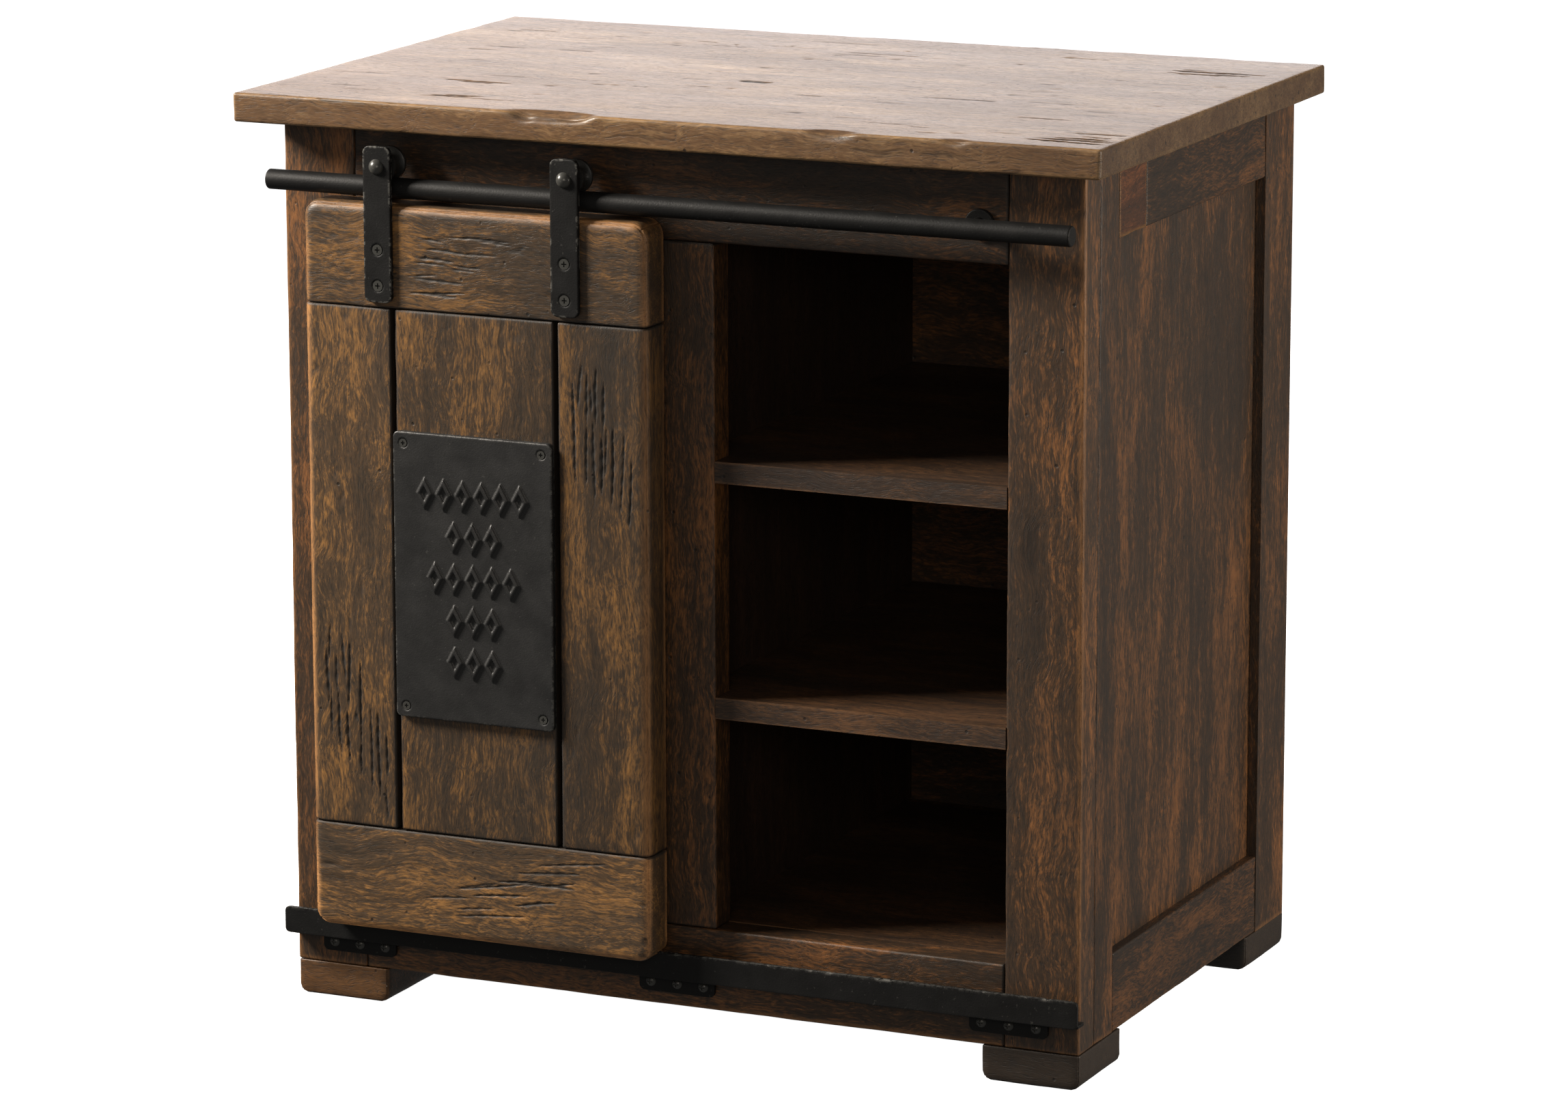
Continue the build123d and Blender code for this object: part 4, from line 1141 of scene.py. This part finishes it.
# CAD pieces that keep their shape and take only a finish
keptIron = {
    "track_rod": powderCoat, "rod_standoff_left": powderCoat, "rod_standoff_right": powderCoat,
    "guide_tab_left": powderCoat, "guide_tab_middle": powderCoat, "guide_tab_right": powderCoat,
    "hanger_spacers": powderCoat, "roller_left": rollerIron, "roller_right": rollerIron,
    "hanger_bolts": blackSteel, "hanger_nuts": blackSteel, "strap_screws": blackSteel,
    "plate_screws": blackSteel, "guide_screws": blackSteel, "corner_screws": blackSteel,
    "foot_screws": blackSteel, "standoff_dowel_screws": blackSteel,
}
keptWood = {
    "post_back_left": ("darkBody", 2), "post_back_right": ("darkBody", 2),
    "back_top_rail": ("darkBody", 0), "back_bottom_rail": ("darkBody", 0), "back_panel": ("darkBody", 0),
    # partition, cleats and corner blocks take the inner finish, darkened as painted shade inside the body
    "partition_panel": ("innerBoardsPaintedShade", 2), "floor_panel": ("shelfBoards", 0),
    "floor_cleats": ("innerBoardsPaintedShade", 0), "shelf_cleats": ("innerBoardsPaintedShade", 1),
    "corner_blocks": ("innerBoardsPaintedShade", 0), "shelf_left_lower": ("shelfBoards", 0),
    "shelf_left_upper": ("shelfBoards", 0), "shelf_right_lower": ("shelfBoards", 0),
    "shelf_right_upper": ("shelfBoards", 0),
}


def paint(node, material):
    # the CAD piece's own slot takes the material
    nodes[node].data.materials.clear()
    nodes[node].data.materials.append(material)


def breakEdges(node, width):
    # a small bevel, so that a square edge catches the light
    bevel = nodes[node].modifiers.new("softEdge", "BEVEL")
    bevel.width, bevel.segments = width * mm, 2
    bevel.limit_method, bevel.angle_limit = "ANGLE", math.radians(40)


for node, material in keptIron.items():
    paint(node, material)
for index, (node, (finish, grain)) in enumerate(keptWood.items()):
    low, high = boxOf(node)
    edges = bodyBox if node.startswith(("post", "back")) else (low, high)
    paint(node, waxedWood(node, finish, grain, seeds["kept"] + index * 13, *edges))
    breakEdges(node, 0.9)
for node in ("guide_tab_left", "guide_tab_middle", "guide_tab_right"):
    breakEdges(node, 0.5)
print("kept pieces finished")

# room, light, camera
scene = bpy.context.scene
scene.view_settings.view_transform = "Standard"
scene.view_settings.look = "None"
scene.view_settings.exposure = 0
scene.view_settings.gamma = 1

room = {
    # the camera sees the wall, the piece is lit by the light
    "wall": "#ffffff", "light": "#fffcf7", "lightStrength": 0.15,
    "paper": "#ededed", "paperGlow": 1.0, "floorReach": 9,  # metres from the middle to the floor's edge
}
world = bpy.data.worlds.new("paleRoom")
scene.world = world
world.use_nodes = True
tree = world.node_tree
tree.nodes.clear()
rays = add(tree, "ShaderNodeLightPath")
roomLight = add(
    tree, "ShaderNodeBackground", {"Color": linear(room["light"]), "Strength": room["lightStrength"]},
)
roomWall = add(tree, "ShaderNodeBackground", {"Color": linear(room["wall"]), "Strength": 1.0})
roomMix = add(
    tree, "ShaderNodeMixShader", None,
    {0: rays.outputs["Is Camera Ray"], 1: roomLight.outputs[0], 2: roomWall.outputs[0]},
)
add(tree, "ShaderNodeOutputWorld", None, {"Surface": roomMix.outputs[0]})

floorMesh = bpy.data.meshes.new("studioFloor")
reach = room["floorReach"]
floorMesh.from_pydata(
    [(-reach, -reach, 0), (reach, -reach, 0), (reach, reach, 0), (-reach, reach, 0)], [], [(0, 1, 2, 3)],
)
floorPiece = bpy.data.objects.new("studioFloor", floorMesh)
scene.collection.objects.link(floorPiece)
paper = bpy.data.materials.new("whitePaperFloor")
paper.use_nodes = True
tree = paper.node_tree
tree.nodes.clear()
paperShader = add(
    tree, "ShaderNodeBsdfPrincipled",
    {
        "Base Color": linear(room["paper"]), "Roughness": 0.9, "Emission Color": linear(room["wall"]),
        "Emission Strength": room["paperGlow"], "Specular IOR Level": 0.0,
    },
)
add(tree, "ShaderNodeOutputMaterial", None, {"Surface": paperShader.outputs[0]})
floorMesh.materials.append(paper)
floorPiece.visible_diffuse = False
floorPiece.visible_glossy = False

softBoxes = {
    "keyLeft": {
        "place": (-2.3, -1.25, 2.15), "aim": (0, -0.2, 0.4), "size": (0.8, 0.8), "watts": 225,
        "colour": "#fff6ea",
    },
    "backSheet": {
        "place": (-1.5, 2.9, 0.95), "aim": (0, 0, 0.75), "size": (3.2, 1.5), "watts": 44,
        "colour": "#fffafa",
    },
    "sideFill": {
        "place": (2.6, 0.3, 0.9), "aim": (0.36, 0.05, 0.4), "size": (1.1, 1.1), "watts": 48,
        "colour": "#fff3e4",
    },
    "frontFill": {
        "place": (1.5, -3.4, 1.5), "aim": (0.1, 0, 0.35), "size": (1.2, 1.0), "watts": 18,
        "colour": "#fff1e0",
    },
}
for name, box in softBoxes.items():
    data = bpy.data.lights.new(name, "AREA")
    data.shape = "RECTANGLE"
    data.size, data.size_y = box["size"]
    data.energy = box["watts"]
    data.color = linear(box["colour"])[:3]
    lamp = bpy.data.objects.new(name, data)
    lamp.location = box["place"]
    lamp.rotation_euler = (Vector(box["aim"]) - Vector(box["place"])).to_track_quat("-Z", "Y").to_euler()
    lamp.visible_camera = False
    scene.collection.objects.link(lamp)

cameraLook = {
    "place": (2.23655, -4.9396, 1.56183), "yaw": 24.364, "tilt": 77.624, "roll": -0.1, "lens": 149.75,
    "sensor": 36,
}
cameraData = bpy.data.cameras.new("viewer")
cameraData.lens, cameraData.sensor_width = cameraLook["lens"], cameraLook["sensor"]
camera = bpy.data.objects.new("viewer", cameraData)
turns = [
    Matrix.Rotation(math.radians(cameraLook[k]), 4, a)
    for k, a in (("yaw", "Z"), ("tilt", "X"), ("roll", "Z"))
]
camera.matrix_world = Matrix.Translation(cameraLook["place"]) @ turns[0] @ turns[1] @ turns[2]
scene.collection.objects.link(camera)
scene.camera = camera
print("room, lights and camera set")
